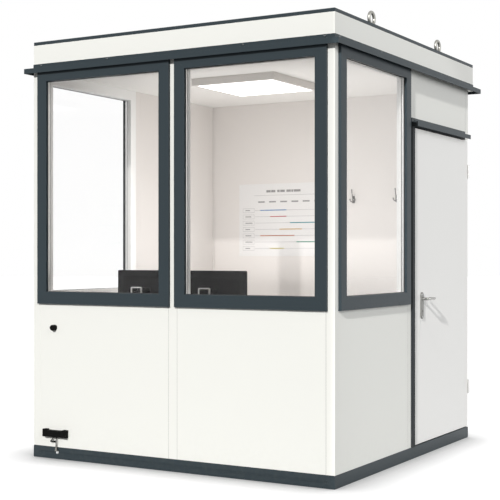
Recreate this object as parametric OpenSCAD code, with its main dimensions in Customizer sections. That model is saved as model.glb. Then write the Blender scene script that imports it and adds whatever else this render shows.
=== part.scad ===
/* [Cabin] */
// Outer width of the cabin, left to right
cabin_w = 2045; // [1900:5:2400]
// Outer depth of the walls, front to rear
cabin_d = 2045; // [1900:5:2600]
// Height of the base frame
base_h = 72; // [50:1:100]
// Height of the underside of the roof above the ground
roof_z = 2350; // [2300:5:2500]
// Thickness of the insulated wall panels
wall_t = 45; // [40:1:50]
// Side of the square corner posts
post_w = 52; // [48:1:60]
// Width of the posts between two bays
mid_post_w = 58; // [52:1:70]
// Height of the lower edge of the window openings
sill_z = 947; // [800:1:1000]
// Hairline left between neighbouring pieces
seam = 0.2; // [0.1:0.05:0.3]

/* [Base] */
// Width of the base beams
beam_w = 60; // [50:1:80]
// Sheet thickness of the base beams
beam_t = 5; // [4:0.5:6]
// Thickness of the floor slab
floor_t = 50; // [40:1:60]
// Width of the joists under the floor
joist_w = 60; // [40:1:80]
// Distance between neighbouring joists
joist_pitch = 500; // [300:10:600]
// Radius of the fixing holes in the front beam
fix_hole_r = 6.5; // [5:0.5:9]
// Distance of the fixing holes from the corners
fix_hole_inset = 49; // [40:1:80]

/* [Roof] */
// Height of the roof edge beams
roof_beam_h = 161; // [140:1:200]
// Width of the roof edge beams
roof_beam_w = 60; // [55:1:80]
// Overhang of the roof behind the rear wall
overhang = 100; // [80:5:200]
// Height of the dark cap on the roof edge
trim_h = 20; // [10:1:30]
// Width of the dark cap on the roof edge
trim_w = 90; // [88:1:110]
// Thickness of the roof skin
skin_t = 3; // [2:0.5:5]
// Height of the drip rail's upper edge above the roof's underside
rail_top = 46; // [36:1:60]
// Height of the drip rail's flange on the beam
rail_flange_h = 29; // [20:1:34]
// Reach of the drip rail out from the wall
rail_reach = 42; // [35:1:50]
// Height of the drip rail's hanging lip
rail_lip_h = 30; // [20:1:32]
// Sheet thickness of the drip rail and the door hood
rail_t = 2; // [1.5:0.5:3]

/* [Lifting eyes] */
// Radius of the eye's opening
eye_r = 25; // [20:1:30]
// Radius of the round bar of the eye
eye_bar_r = 10; // [8:0.5:12]
// Width of the flat land inside the eye
eye_land = 10; // [8:0.5:12]
// Radius of the collar
eye_collar_r = 25; // [22:1:28]
// Height of the collar
eye_collar_h = 12; // [8:1:16]
// Radius of the threaded shank
eye_shank_r = 12; // [8:0.5:12]
// Length of the shank below the collar
eye_shank_l = 60; // [30:1:80]
// Distance of the eyes from the side of the roof
eye_inset = 45; // [40:1:50]
// Distance of the front pair from the front
eye_front = 566; // [400:1:700]
// Distance from the front pair to the rear pair
eye_pitch = 1031; // [800:1:1100]

/* [Windows] */
// Overlap of the window frame on the wall
win_lap = 11; // [8:1:15]
// Reach of the window frame out from the wall
win_proud = 18; // [15:1:30]
// Visible width of the frame's upright bars
win_side = 70; // [60:1:80]
// Visible width of the frame's lower bar
win_bottom = 74; // [60:1:90]
// Visible width of the frame's upper bar
win_top = 78; // [60:1:90]
// Depth of the outer pane behind the wall's face
pane_depth = 0; // [0:1:8]
// Thickness of one pane
pane_t = 4; // [3:0.5:6]
// Distance from the outer pane's face to the inner pane's face
pane_unit_t = 20; // [16:1:28]
// Depth of the groove that holds the panes
pane_hold = 14; // [10:1:18]

/* [Door] */
// Width of the post between the window and the door
door_post_w = 48.5; // [45:0.5:60]
// Width of the door frame's latch bar
jamb_w = 42; // [36:1:50]
// Reach of the latch bar out from the wall
jamb_proud = 10; // [5:1:15]
// Depth of the door frame from the wall's face
jamb_depth = 60; // [55:1:70]
// Width of the rib that the leaf closes against
stop_w = 15; // [10:1:20]
// Thickness of the leaf
leaf_t = 40; // [38:1:42]
// Thickness of the leaf's overlap at the hinge side
leaf_lap_t = 20; // [16:1:24]
// Gap between the leaf and the frame
leaf_gap = 6.5; // [6:0.5:8]
// Distance of the leaf's hinge edge from the cabin's corner
leaf_rear_inset = 5.2; // [5:0.1:7]
// Height of the leaf's upper edge
leaf_top_z = 2002; // [1950:1:2100]
// Height of the door hood's upper edge above the leaf
hood_rise = 59; // [50:1:80]
// Distance of the hood's front end from the door post
hood_inset = 8; // [0:1:15]
// Distance of the hood's rear end from the cabin's corner
hood_rear_inset = 59; // [55:1:80]
// Height of the hood's flange on the frame
hood_flange_h = 25; // [20:1:29]
// Height of the hood's hanging lip
hood_lip_h = 28; // [20:1:28]

/* [Hinges] */
// Radius of the hinge knuckles
knuckle_r = 7; // [6:0.5:9]
// Height of one hinge
hinge_h = 92; // [80:1:110]
// Radius of the hinge pin
hinge_pin_r = 4; // [3:0.5:5]
// Running clearance around the hinge pin
pin_play = 0.08; // [0.05:0.01:0.1]
// Height of the lower hinge's lower end
hinge_low_z = 300; // [200:1:500]
// Height of the upper hinge's lower end
hinge_high_z = 1748; // [1600:1:1800]
// Distance of the hinge axis out from the wall
hinge_out = 8; // [8:0.5:10]
// Distance of the hinge axis from the cabin's rear corner
hinge_inset = 10; // [9:0.5:11]
// Thickness of the hinge straps
strap_t = 3; // [2:0.5:4]
// Length of the hinge strap on the rear post
strap_l = 48; // [40:1:50]

/* [Door handle] */
// Distance of the lever's axis from the leaf's latch edge
backset = 120; // [60:1:150]
// Height of the lever's axis
lever_z = 963; // [900:1:1100]
// Length of the lever from its axis to its tip
lever_l = 105; // [90:1:130]
// Radius of the lever's round bar
lever_bar_r = 8; // [6:0.5:10]
// Radius of the lever's neck
neck_r = 9; // [8:0.5:11]
// Distance from the leaf to the lever's centre line
lever_out = 52; // [45:1:60]
// Clearance between the leaf and the lever's end, which turns back towards it
lever_end_gap = 8; // [6:1:30]
// Width of the handle plate
plate_w = 40; // [34:1:46]
// Height of the handle plate
plate_h = 164; // [150:1:200]
// Thickness of the handle plate
plate_t = 8; // [4:0.5:10]
// Distance from the plate's upper end to the lever's axis
plate_above = 41; // [35:1:60]
// Distance from the lever's axis down to the lock cylinder
lock_drop = 75; // [70:1:95]
// Radius of the lock cylinder
lock_r = 8.5; // [7:0.5:9]

/* [Fittings] */
// Distance of the cable gland from the left end of the front wall
gland_u = 164; // [120:1:400]
// Height of the cable gland
gland_z = 793; // [500:1:850]
// Radius of the cable gland's cap
gland_r = 18; // [12:1:25]
// Reach of the cable gland's cap out from the wall
gland_out = 32; // [15:1:40]
// Distance of the bonding box from the left end of the front wall
box_u = 93; // [60:1:200]
// Length of the bonding box
box_l = 176; // [150:1:250]
// Height of the bonding box's underside
box_z = 135; // [110:1:300]
// Height of the bonding box
box_h = 40; // [30:1:60]
// Reach of the bonding box out from the wall
box_out = 32; // [20:1:40]
// Length of each end cover of the bonding box
box_end_l = 30; // [20:1:40]
// Extra height of the bonding box's end covers
box_end_rise = 6; // [3:1:10]
// Distance of the earth lead from the bonding box's left end
lead_u = 93; // [60:1:130]
// Radius of the earth lead
lead_r = 3; // [3:0.5:5]
// Distance of the earth lead's axis out from the wall
lead_out = 14; // [10:1:18]

/* [Room] */
// Side of the ceiling light
light_w = 600; // [400:10:620]
// Height of the ceiling light's housing
light_h = 45; // [30:1:60]
// Width of the housing's rim around the diffuser
light_rim = 28; // [15:1:40]
// Sideways place of the ceiling light
light_x = -34; // [-200:1:200]
// Place of the ceiling light towards the rear
light_y = -17; // [-200:1:200]
// Width of the wall planner
planner_w = 878; // [600:1:1000]
// Height of the wall planner
planner_h = 533; // [400:1:700]
// Height of the wall planner's lower edge
planner_z = 1225; // [1000:1:1500]
// Sideways place of the wall planner's middle
planner_x = -307; // [-400:1:-200]
// Thickness of the wall planner
planner_t = 3; // [2:0.5:6]
// Distance from the wall planner's edge to the first coat hook
hook_gap = 58; // [25:1:100]
// Distance to the second coat hook
hook_pitch = 331; // [200:1:400]
// Height of the upper end of the coat hooks' plates
hook_z = 1650; // [1500:1:1900]
// Depth of the worktop
desk_d = 600; // [500:10:800]
// Height of the worktop's upper face above the floor
desk_h = 740; // [680:10:780]
// Thickness of the worktop
desk_t = 25; // [18:1:40]
// Width of the screens
screen_w = 440; // [380:5:450]
// Height of the screens
screen_h = 270; // [240:1:300]
// Thickness of the screens
screen_t = 30; // [20:1:45]
// Height of the screens' upper edge above the worktop
screen_rise = 327; // [310:1:420]
// Sideways place of the left screen's middle
screen_x = -435; // [-500:1:-400]
// Distance between the middles of the screens
screen_pitch = 485; // [460:1:520]
// Distance of the screens' back from the front of the cabin
screen_y = 350; // [320:1:400]
// Width of a screen's stand
stand_w = 80; // [60:1:120]

/* [Hidden] */
$fn = 48;
ring_fn = 64;
bar_fn = 32;
lead_fn = 24;
nut_fn = 6;
mitre = 45;

// A cut reaches this far past the faces that it opens
over = 1;
half_w = cabin_w / 2;
half_d = cabin_d / 2;

// Bays of the front and rear walls, and of the side walls
bay_w = (cabin_w - 2 * post_w - mid_post_w) / 2;
far_bay = post_w + bay_w + mid_post_w;
side_bay_w = (cabin_d - 2 * post_w - mid_post_w) / 2;
left_win_bay = cabin_d - post_w - side_bay_w;
wall_z = base_h + seam;
wall_top = roof_z - seam;

// Window openings run from the sill up to the roof
win_open_h = roof_z - sill_z;
pane_back = pane_depth + pane_unit_t;

// Roof levels
beam_top = roof_z + roof_beam_h;
trim_z = beam_top + seam;
roof_top = trim_z + trim_h;
rail_top_z = roof_z + rail_top;
rail_shelf_z = rail_top_z - rail_flange_h;

// Lifting eye: the ring stands on the cap, with its lowest part inside the collar
eye_base_z = roof_top + seam;
eye_ring_r = eye_r + eye_bar_r;
eye_centre_z = eye_base_z + eye_ring_r + eye_bar_r;

// Door, measured along the right wall from the front corner
door_front = post_w + side_bay_w + door_post_w;
leaf_front = door_front + jamb_w + leaf_gap;
leaf_rear = cabin_d - leaf_rear_inset;
hinge_jamb_rear = cabin_d - post_w;
hinge_jamb_front = hinge_jamb_rear - jamb_w;
body_rear = hinge_jamb_front - leaf_gap;
recess = leaf_lap_t + leaf_gap;
leaf_bottom_z = base_h + leaf_gap;
frame_head_z = leaf_top_z + leaf_gap;
hood_top_z = leaf_top_z + hood_rise;
header_z = hood_top_z;
stop_front = leaf_t + leaf_gap;

// Hinge axis on the right wall
hinge_s = cabin_d - hinge_inset;
knuckle_h = hinge_h / 2 - seam;
strap_trim = 6;
strap_h = knuckle_h - strap_trim;
web_t = 6;
pin_top_gap = 4;

// Lever axis on the right wall
lever_s = leaf_front + backset;
bore_play = 0.1;
plate_low_z = lever_z + plate_above - plate_h;

// Lock cylinder and its slots
lock_proud = 1;
slot_w = 2.5;
slot_h = 9;
slot_d = 3;

// Cap of the cable gland
gland_face_t = 5;
gland_step = 4;

// Lug of the earth lead on the base frame
lug_u = box_u + lead_u;
lug_barrel_r = 6.5;
lug_barrel_h = 24;
lug_tongue_w = 18;
lug_tongue_t = 3;
lug_top_z = base_h + 2;
nut_r = 8;
nut_t = 6;

// Clip under the bonding box: a strip that runs down, turns and comes back, clip_bar wide
clip_gap = 20;
clip_u = lead_u - clip_gap;
clip_t = 5;
clip_bar = 6;
clip_back = 20;
clip_drop = 28;
clip_out = 12;
clip_outline = [
    [-clip_bar, clip_bar], [-clip_back - clip_bar, -clip_drop + clip_bar],
    [-clip_back - clip_bar, -clip_drop - clip_bar], [-clip_back, -clip_drop - clip_bar],
    [-clip_back, -clip_drop - clip_bar / 2], [clip_out, -clip_drop],
    [clip_out, -clip_drop + clip_bar], [-clip_back + clip_bar, -clip_drop + clip_bar / 2],
    [clip_bar, clip_bar]
];

// Room
floor_z = base_h;
rear_face = half_d - wall_t;
desk_z = floor_z + desk_h;
desk_front = -half_d + post_w + seam;
desk_half = half_w - post_w - seam;
leg_t = 25;
leg_inset = 60;
light_z = roof_z - seam - light_h;
light_recess = 6;
diffuser_set = 1;
screen_back = -half_d + screen_y;
screen_top_z = desk_z + screen_rise;
stand_foot_w = 220;
stand_foot_d = 200;
stand_foot_t = 8;
stand_drop = 100;
stand_t = 12;

// Coat hooks: a back plate with a tall upper prong and two short ones that spread sideways below
hook_x = planner_x + planner_w / 2 + hook_gap;
hook_w = 20;
hook_h = 50;
hook_t = 5;
prong_r = 3;
prong_inset = 12;
prong_side = 4;
prong_sink = 1;
knob_r = 5;
upper_l = 60;
upper_rise = 62;
lower_l = 26;
lower_rise = 35;
lower_turn = 50;

// Right-angled turns that set a wall's own plan in place: u runs along the wall from
// the left as seen from outside, n runs inward from the outer face
module front_wall() { translate([-half_w, -half_d, 0]) children(); }
module right_wall() { translate([half_w, -half_d, 0]) rotate([0, 0, 90]) children(); }
module left_wall() { translate([-half_w, half_d, 0]) rotate([0, 0, -90]) children(); }
module rear_wall() { translate([half_w, half_d, 0]) rotate([0, 0, 180]) children(); }

module block(low, high) { translate(low) cube(high - low); }

// Plain panel between u0 and u1, from z0 up to z1
module panel(u0, u1, z0, z1) {
    block([u0 + seam, 0, z0], [u1 - seam, wall_t, z1]);
}

// Rectangular ring in plan, outer corners low and high, w wide, from z0 up to z1
module plan_ring(low, high, w, z0, z1) {
    difference() {
        block([low.x, low.y, z0], [high.x, high.y, z1]);
        block([low.x + w, low.y + w, z0 - over], [high.x - w, high.y - w, z1 + over]);
    }
}

// Upright hairline cuts on the four mitres of a ring in plan
module plan_mitres(low, high, reach, z0, z1) {
    for (c = [[low.x, low.y, mitre], [high.x, low.y, -mitre],
              [high.x, high.y, mitre], [low.x, high.y, -mitre]])
        translate([c[0], c[1], z0 - over])
            rotate([0, 0, c[2]])
                translate([-reach, -seam / 2, 0])
                    cube([2 * reach, seam, z1 - z0 + 2 * over]);
}

roof_low = [-half_w, -half_d];
roof_high = [half_w, half_d + overhang];

// ---- Base ----

module base_frame() {
    low = [-half_w, -half_d];
    high = [half_w, half_d];
    color("#3e484e") difference() {
        plan_ring(low, high, beam_w, 0, base_h);
        plan_ring(low + [beam_t, beam_t], high - [beam_t, beam_t], beam_w, beam_t, base_h - beam_t);
        plan_mitres(low, high, 2 * beam_w, 0, base_h);
        for (x = [-1, 1])
            translate([x * (half_w - fix_hole_inset), -half_d - over, base_h / 2])
                rotate([-90, 0, 0])
                    cylinder(r = fix_hole_r, h = beam_t + 2 * over);
    }
}

module floor_joists() {
    reach = half_d - beam_w - seam;
    color("#3e484e")
        for (i = [-1:1])
            block([i * joist_pitch - joist_w / 2, -reach, 0],
                  [i * joist_pitch + joist_w / 2, reach, base_h - floor_t - seam]);
}

module floor_panel() {
    reach_x = half_w - beam_w - seam;
    reach_y = half_d - beam_w - seam;
    color("#8d8f8c")
        block([-reach_x, -reach_y, base_h - floor_t], [reach_x, reach_y, base_h]);
}

// ---- Posts and panels ----

module corner_posts() {
    color("#f4f5f0") {
        front_wall() block([0, 0, wall_z], [post_w, post_w, wall_top]);
        right_wall() block([0, 0, wall_z], [post_w, post_w, wall_top]);
        left_wall() block([0, 0, wall_z], [post_w, post_w, wall_top]);
        door_corner_post();
    }
}

// The post behind the door's hinge edge is set back from the leaf's overlap
module door_corner_post() {
    right_wall() difference() {
        block([cabin_d - post_w, 0, wall_z], [cabin_d, post_w, wall_top]);
        block([cabin_d - post_w - over, -over, wall_z - over],
              [cabin_d + over, recess, frame_head_z]);
    }
}

module mid_post(u) {
    block([u, 0, wall_z], [u + mid_post_w, wall_t, wall_top]);
}

module front_mid_post() { color("#f4f5f0") front_wall() mid_post(post_w + bay_w); }
module left_mid_post() { color("#f4f5f0") left_wall() mid_post(post_w + side_bay_w); }
module rear_mid_post() { color("#f4f5f0") rear_wall() mid_post(post_w + bay_w); }

module door_post() {
    color("#f4f5f0") right_wall()
        block([post_w + side_bay_w, 0, wall_z], [door_front - seam, post_w, wall_top]);
}

module front_lower_panels() {
    color("#f4f5f0") front_wall()
        for (u = [post_w, far_bay])
            panel(u, u + bay_w, wall_z, sill_z);
}

module right_lower_panel() {
    color("#f4f5f0") right_wall() panel(post_w, post_w + side_bay_w, wall_z, sill_z);
}

module left_lower_panel() {
    color("#f4f5f0") left_wall() panel(left_win_bay, cabin_d - post_w, wall_z, sill_z);
}

module left_wall_panel() {
    color("#f4f5f0") left_wall() panel(post_w, post_w + side_bay_w, wall_z, wall_top);
}

module rear_wall_panels() {
    color("#f4f5f0") rear_wall()
        for (u = [post_w, far_bay])
            panel(u, u + bay_w, wall_z, wall_top);
}

module door_header_panel() {
    color("#f4f5f0") right_wall()
        panel(door_front, cabin_d - post_w, header_z, wall_top);
}

// ---- Windows ----

// Hairline cuts on the mitres of a window ring: each runs from the ring's outer corner
// to the corner of its glass opening
module win_mitres(w, n0, n1) {
    outer = [-win_lap, -win_lap];
    inner_low = [win_side - win_lap, win_bottom - win_lap];
    inner_high = [win_side - win_lap, win_top - win_lap];
    far = [w, win_open_h];
    for (c = [[outer, inner_low, [0, 0]],
              [outer, inner_high, [0, 1]],
              [outer, inner_low, [1, 0]],
              [outer, inner_high, [1, 1]]]) {
        run = c[1] - c[0];
        translate([c[2].x * far.x, n0 - over, c[2].y * far.y])
            mirror([c[2].x, 0, 0]) mirror([0, 0, c[2].y])
                translate([c[0].x, 0, c[0].y])
                    rotate([0, -atan2(run.y, run.x), 0])
                        translate([-over, 0, -seam / 2])
                            cube([norm(run) + 2 * over, n1 - n0 + 2 * over, seam]);
    }
}

// Glass opening of a window in a bay w wide, grown by grow on every side
module win_glass(w, grow, n0, n1) {
    block([win_side - win_lap - grow, n0, win_bottom - win_lap - grow],
          [w - win_side + win_lap + grow, n1, win_open_h - win_top + win_lap + grow]);
}

// Outer window ring: a flange on the wall, a body in the opening and a groove for the panes
module win_frame(u, w) {
    translate([u, 0, sill_z]) difference() {
        union() {
            block([-win_lap, -win_proud, -win_lap],
                  [w + win_lap, -seam, win_open_h + win_lap]);
            block([seam, -over, seam], [w - seam, pane_back, win_open_h - seam]);
        }
        win_glass(w, 0, -win_proud - over, pane_back + over);
        win_glass(w, pane_hold, pane_depth, pane_back + over);
        win_mitres(w, -win_proud, pane_back);
    }
}

// Inner window ring, which holds the panes from the room side
module win_inner_frame(u, w) {
    n0 = pane_back + seam;
    n1 = post_w - seam;
    translate([u, 0, sill_z]) difference() {
        block([seam, n0, seam], [w - seam, n1, win_open_h - seam]);
        win_glass(w, 0, n0 - over, n1 + over);
        win_mitres(w, n0, n1);
    }
}

// Double glazing: two panes, a small gap inside the groove
module win_panes(u, w) {
    grow = pane_hold - seam;
    translate([u, 0, sill_z]) {
        win_glass(w, grow, pane_depth + seam, pane_depth + pane_t);
        win_glass(w, grow, pane_back - pane_t, pane_back);
    }
}

module front_window_frames() {
    color("#3e484e") front_wall() {
        win_frame(post_w, bay_w);
        win_frame(far_bay, bay_w);
    }
}

module right_window_frame() { color("#3e484e") right_wall() win_frame(post_w, side_bay_w); }
module left_window_frame() { color("#3e484e") left_wall() win_frame(left_win_bay, side_bay_w); }

module window_panes() {
    color("#b8cdd2", 0.3) {
        front_wall() for (u = [post_w, far_bay]) win_panes(u, bay_w);
        right_wall() win_panes(post_w, side_bay_w);
        left_wall() win_panes(left_win_bay, side_bay_w);
    }
}

module window_inner_frames() {
    color("#f4f5f0") {
        front_wall() for (u = [post_w, far_bay]) win_inner_frame(u, bay_w);
        right_wall() win_inner_frame(post_w, side_bay_w);
        left_wall() win_inner_frame(left_win_bay, side_bay_w);
    }
}

// ---- Roof ----

module eye_places() {
    for (x = [-1, 1])
        for (y = [0, 1])
            translate([x * (half_w - eye_inset), -half_d + eye_front + y * eye_pitch, 0])
                children();
}

module eye_holes() {
    eye_places() translate([0, 0, eye_base_z - eye_shank_l - over])
        cylinder(r = eye_shank_r + seam, h = eye_shank_l + 2 * over);
}

module roof_frame() {
    color("#f4f5f0") difference() {
        plan_ring(roof_low, roof_high, roof_beam_w, roof_z, beam_top);
        plan_mitres(roof_low, roof_high, 2 * roof_beam_w, roof_z, beam_top);
        eye_holes();
    }
}

module roof_panel() {
    w = roof_beam_w + seam;
    color("#ecebe4")
        block([roof_low.x + w, roof_low.y + w, roof_z], [roof_high.x - w, roof_high.y - w, beam_top]);
}

module roof_skin() {
    w = trim_w + seam;
    color("#8a8f92")
        block([roof_low.x + w, roof_low.y + w, trim_z],
              [roof_high.x - w, roof_high.y - w, trim_z + skin_t]);
}

module roof_trim() {
    color("#3e484e") difference() {
        plan_ring(roof_low, roof_high, trim_w, trim_z, roof_top);
        plan_mitres(roof_low, roof_high, 2 * trim_w, trim_z, roof_top);
        eye_holes();
    }
}

// Drip rail: a flange on the edge beam, a shelf and a hanging lip, all the way round
module drip_rail() {
    r0 = seam;
    r1 = seam + rail_t;
    r2 = rail_reach;
    low0 = roof_low - [r1, r1];
    high0 = roof_high + [r1, r1];
    low1 = roof_low - [r2, r2];
    high1 = roof_high + [r2, r2];
    color("#3e484e") difference() {
        union() {
            plan_ring(low0, high0, rail_t, rail_shelf_z, rail_top_z);
            plan_ring(low1, high1, r2 - r0, rail_shelf_z - rail_t, rail_shelf_z);
            plan_ring(low1, high1, rail_t, rail_shelf_z - rail_lip_h, rail_shelf_z);
        }
        plan_mitres(roof_low, roof_high, 2 * rail_reach, rail_shelf_z - rail_lip_h, rail_top_z);
    }
}

// Ring-shaped lifting bolt with a flat land inside the ring
module lifting_eye() {
    translate([0, 0, eye_centre_z]) rotate([0, 90, 0])
        rotate_extrude($fn = ring_fn) {
            translate([eye_ring_r, 0]) circle(r = eye_bar_r, $fn = bar_fn);
            translate([eye_r, -eye_land / 2]) square([eye_bar_r, eye_land]);
        }
    translate([0, 0, eye_base_z]) cylinder(r = eye_collar_r, h = eye_collar_h);
    translate([0, 0, eye_base_z - eye_shank_l]) cylinder(r = eye_shank_r, h = eye_shank_l + over);
}

module lifting_eyes() { color("#c9ccce") eye_places() lifting_eye(); }

// ---- Door frame ----

// Depth n is measured inward from the wall's face
module door_frame() {
    head_front = door_front + jamb_w + seam;
    color("#3e484e") right_wall() {
        block([door_front, -jamb_proud, wall_z], [door_front + jamb_w, jamb_depth, frame_head_z - seam]);
        block([door_front + jamb_w - over, stop_front, wall_z],
              [door_front + jamb_w + stop_w, jamb_depth, frame_head_z - seam]);
        block([hinge_jamb_front, recess, wall_z],
              [hinge_jamb_rear - seam, jamb_depth, frame_head_z - seam]);
        block([door_front, 0, frame_head_z], [hinge_jamb_rear - seam, jamb_depth, header_z - seam]);
        block([head_front + stop_w, stop_front, frame_head_z - stop_w],
              [hinge_jamb_front - seam, jamb_depth, frame_head_z + over]);
    }
}

module door_threshold() {
    color("#b9bcbc") right_wall()
        block([door_front + jamb_w + stop_w + seam, stop_front, wall_z],
              [hinge_jamb_front - seam, jamb_depth, wall_z + stop_w]);
}

module door_hood() {
    u0 = door_front + hood_inset;
    u1 = cabin_d - hood_rear_inset;
    shelf_z = hood_top_z - hood_flange_h;
    color("#3e484e") right_wall() {
        block([u0, -seam - rail_t, shelf_z], [u1, -seam, hood_top_z]);
        block([u0, -rail_reach, shelf_z - rail_t], [u1, -seam, shelf_z]);
        block([u0, -rail_reach, shelf_z - hood_lip_h], [u1, -rail_reach + rail_t, shelf_z]);
    }
}

// ---- Door leaf ----

module lever_bore(r, n0, n1) {
    translate([lever_s, n0, lever_z]) rotate([-90, 0, 0]) cylinder(r = r, h = n1 - n0);
}

module lock_bore(r, n0, n1) {
    translate([lever_s, n0, lever_z - lock_drop]) rotate([-90, 0, 0]) cylinder(r = r, h = n1 - n0);
}

// The leaf is wider in front, where it overlaps the hinge side of the frame
module door_leaf() {
    color("#ebebe8") right_wall() difference() {
        union() {
            block([leaf_front, 0, leaf_bottom_z], [leaf_rear, leaf_lap_t, leaf_top_z]);
            block([leaf_front, 0, leaf_bottom_z], [body_rear, leaf_t, leaf_top_z]);
        }
        lever_bore(neck_r + bore_play, -over, leaf_t + over);
        lock_bore(lock_r + bore_play, -over, leaf_t + over);
    }
}

module at_hinges() {
    for (z = [hinge_low_z, hinge_high_z])
        right_wall() translate([hinge_s, -hinge_out, z]) children();
}

// Fixed half of each hinge: lower knuckle with the pin, a web and a strap on the rear face
module hinge_brackets() {
    strap_n = hinge_inset + seam;
    color("#b4b6b6") at_hinges() {
        cylinder(r = knuckle_r, h = knuckle_h);
        cylinder(r = hinge_pin_r, h = hinge_h - pin_top_gap);
        block([0, -web_t / 2, 0], [strap_n + strap_t, web_t / 2 - seam, strap_h]);
        block([strap_n, -web_t / 2, 0], [strap_n + strap_t, hinge_out + strap_l, strap_h]);
    }
}

// Moving half of each hinge: upper knuckle and a strap on the leaf's edge
module hinge_knuckles() {
    strap_n = leaf_rear - hinge_s + seam;
    color("#b4b6b6") at_hinges() difference() {
        union() {
            translate([0, 0, knuckle_h + 2 * seam])
                cylinder(r = knuckle_r, h = knuckle_h);
            block([0, 0, hinge_h - strap_h], [strap_n + strap_t, hinge_out - seam, hinge_h]);
            block([strap_n, 0, hinge_h - strap_h],
                  [strap_n + strap_t, hinge_out + leaf_lap_t - seam, hinge_h]);
        }
        translate([0, 0, -over]) cylinder(r = hinge_pin_r + pin_play, h = hinge_h + 2 * over);
    }
}

// Long handle plate with round ends, on the leaf's face at depth n0
module handle_plate(n0) {
    end_r = plate_w / 2;
    difference() {
        union() {
            translate([lever_s, n0, plate_low_z + end_r])
                rotate([-90, 0, 0]) cylinder(r = end_r, h = plate_t);
            translate([lever_s, n0, plate_low_z + plate_h - end_r])
                rotate([-90, 0, 0]) cylinder(r = end_r, h = plate_t);
            block([lever_s - end_r, n0, plate_low_z + end_r],
                  [lever_s + end_r, n0 + plate_t, plate_low_z + plate_h - end_r]);
        }
        lever_bore(neck_r + bore_play, n0 - over, n0 + plate_t + over);
        lock_bore(lock_r + bore_play, n0 - over, n0 + plate_t + over);
    }
}

module handle_plates() {
    color("#9c9d9a") right_wall() {
        handle_plate(-seam - plate_t);
        handle_plate(leaf_t + seam);
    }
}

// Bar of the lever at a distance n from the leaf's outer face; its end turns back towards the leaf
module lever_grip(n, inward) {
    translate([lever_s, n, lever_z]) {
        sphere(r = neck_r);
        rotate([0, 90, 0]) cylinder(r = lever_bar_r, h = lever_l - lever_bar_r);
        translate([lever_l - lever_bar_r, 0, 0]) {
            sphere(r = lever_bar_r);
            rotate([-inward * 90, 0, 0]) cylinder(r = lever_bar_r, h = lever_out - lever_end_gap);
        }
    }
}

// Lever on both sides of the leaf, joined by the neck that runs through it
module lever_handle() {
    grip_out = -lever_out;
    grip_in = leaf_t + lever_out;
    color("#9c9d9a") right_wall() {
        lever_bore(neck_r, grip_out, grip_in);
        lever_grip(grip_out, 1);
        lever_grip(grip_in, -1);
    }
}

module lock_cylinder() {
    n0 = -seam - plate_t - lock_proud;
    n1 = leaf_t + seam + plate_t + lock_proud;
    color("#8f9090") right_wall() difference() {
        lock_bore(lock_r, n0, n1);
        for (n = [n0 + slot_d / 2, n1 - slot_d / 2])
            translate([lever_s, n, lever_z - lock_drop])
                cube([slot_w, slot_d + over, slot_h], center = true);
    }
}

// ---- Outside fittings ----

module cable_gland() {
    color("#1d1e1c") front_wall() translate([gland_u, -seam, gland_z]) rotate([90, 0, 0]) {
        cylinder(r = gland_r, h = gland_out - gland_face_t);
        cylinder(r = gland_r - gland_step, h = gland_out);
    }
}

// Low box with a raised cover at each end and a small bent clip below
module bonding_box() {
    color("#1d1e1c") front_wall() translate([box_u, -seam, box_z]) {
        block([0, -box_out, 0], [box_l, 0, box_h]);
        block([0, -box_out, 0], [box_end_l, 0, box_h + box_end_rise]);
        block([box_l - box_end_l, -box_out, 0], [box_l, 0, box_h + box_end_rise]);
        translate([clip_u, -lead_out, 0]) rotate([90, 0, 0])
            linear_extrude(height = clip_t) polygon(clip_outline);
    }
}

// The lead leaves the box's underside and ends in the lug on the base
module earth_lead() {
    bottom = lug_top_z + seam;
    color("#1d1e1c") front_wall() translate([lug_u, -lead_out, bottom])
        cylinder(r = lead_r, h = box_z - seam - bottom, $fn = lead_fn);
}

module earth_lug() {
    color("#b9bcbc") front_wall() {
        translate([lug_u, -lead_out, lug_top_z - lug_barrel_h])
            cylinder(r = lug_barrel_r, h = lug_barrel_h);
        block([lug_u - lug_tongue_w / 2, -lead_out, lug_top_z - lug_barrel_h],
              [lug_u + lug_tongue_w / 2, -seam, lug_top_z - lug_barrel_h + lug_tongue_t]);
        block([lug_u - lug_tongue_w / 2, -lug_tongue_t - seam, lug_top_z - lug_barrel_h - lug_tongue_w],
              [lug_u + lug_tongue_w / 2, -seam, lug_top_z - lug_barrel_h + lug_tongue_t]);
        translate([lug_u, -seam, lug_top_z - lug_barrel_h - lug_tongue_w / 2])
            rotate([90, 0, 0]) cylinder(r = nut_r, h = lug_tongue_t + nut_t, $fn = nut_fn);
    }
}

// ---- Room ----

module light_housing() {
    open_half = light_w / 2 - light_rim;
    color("#e6e2d8") translate([light_x, light_y, light_z]) difference() {
        block([-light_w / 2, -light_w / 2, 0], [light_w / 2, light_w / 2, light_h]);
        block([-open_half, -open_half, -over], [open_half, open_half, light_recess]);
    }
}

module light_diffuser() {
    w = light_w / 2 - light_rim - seam;
    color("#ffffff") translate([light_x, light_y, light_z])
        block([-w, -w, diffuser_set], [w, w, light_recess - seam]);
}

module wall_planner() {
    color("#f2f2f2")
        block([planner_x - planner_w / 2, rear_face - seam - planner_t, planner_z],
              [planner_x + planner_w / 2, rear_face - seam, planner_z + planner_h]);
}

// Round prong that leaves the plate's face at (x0, z0), rises by an angle and ends in a knob
module hook_prong(x0, z0, length, rise, turn) {
    translate([x0, prong_sink - hook_t, z0]) rotate([0, 0, turn]) rotate([90 - rise, 0, 0]) {
        cylinder(r = prong_r, h = length);
        translate([0, 0, length]) sphere(r = knob_r);
    }
}

module coat_hook() {
    block([-hook_w / 2, -hook_t, -hook_h], [hook_w / 2, 0, 0]);
    hook_prong(0, -prong_inset, upper_l, upper_rise, 0);
    for (side = [-1, 1])
        hook_prong(side * prong_side, prong_inset - hook_h, lower_l, lower_rise, side * lower_turn);
}

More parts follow.
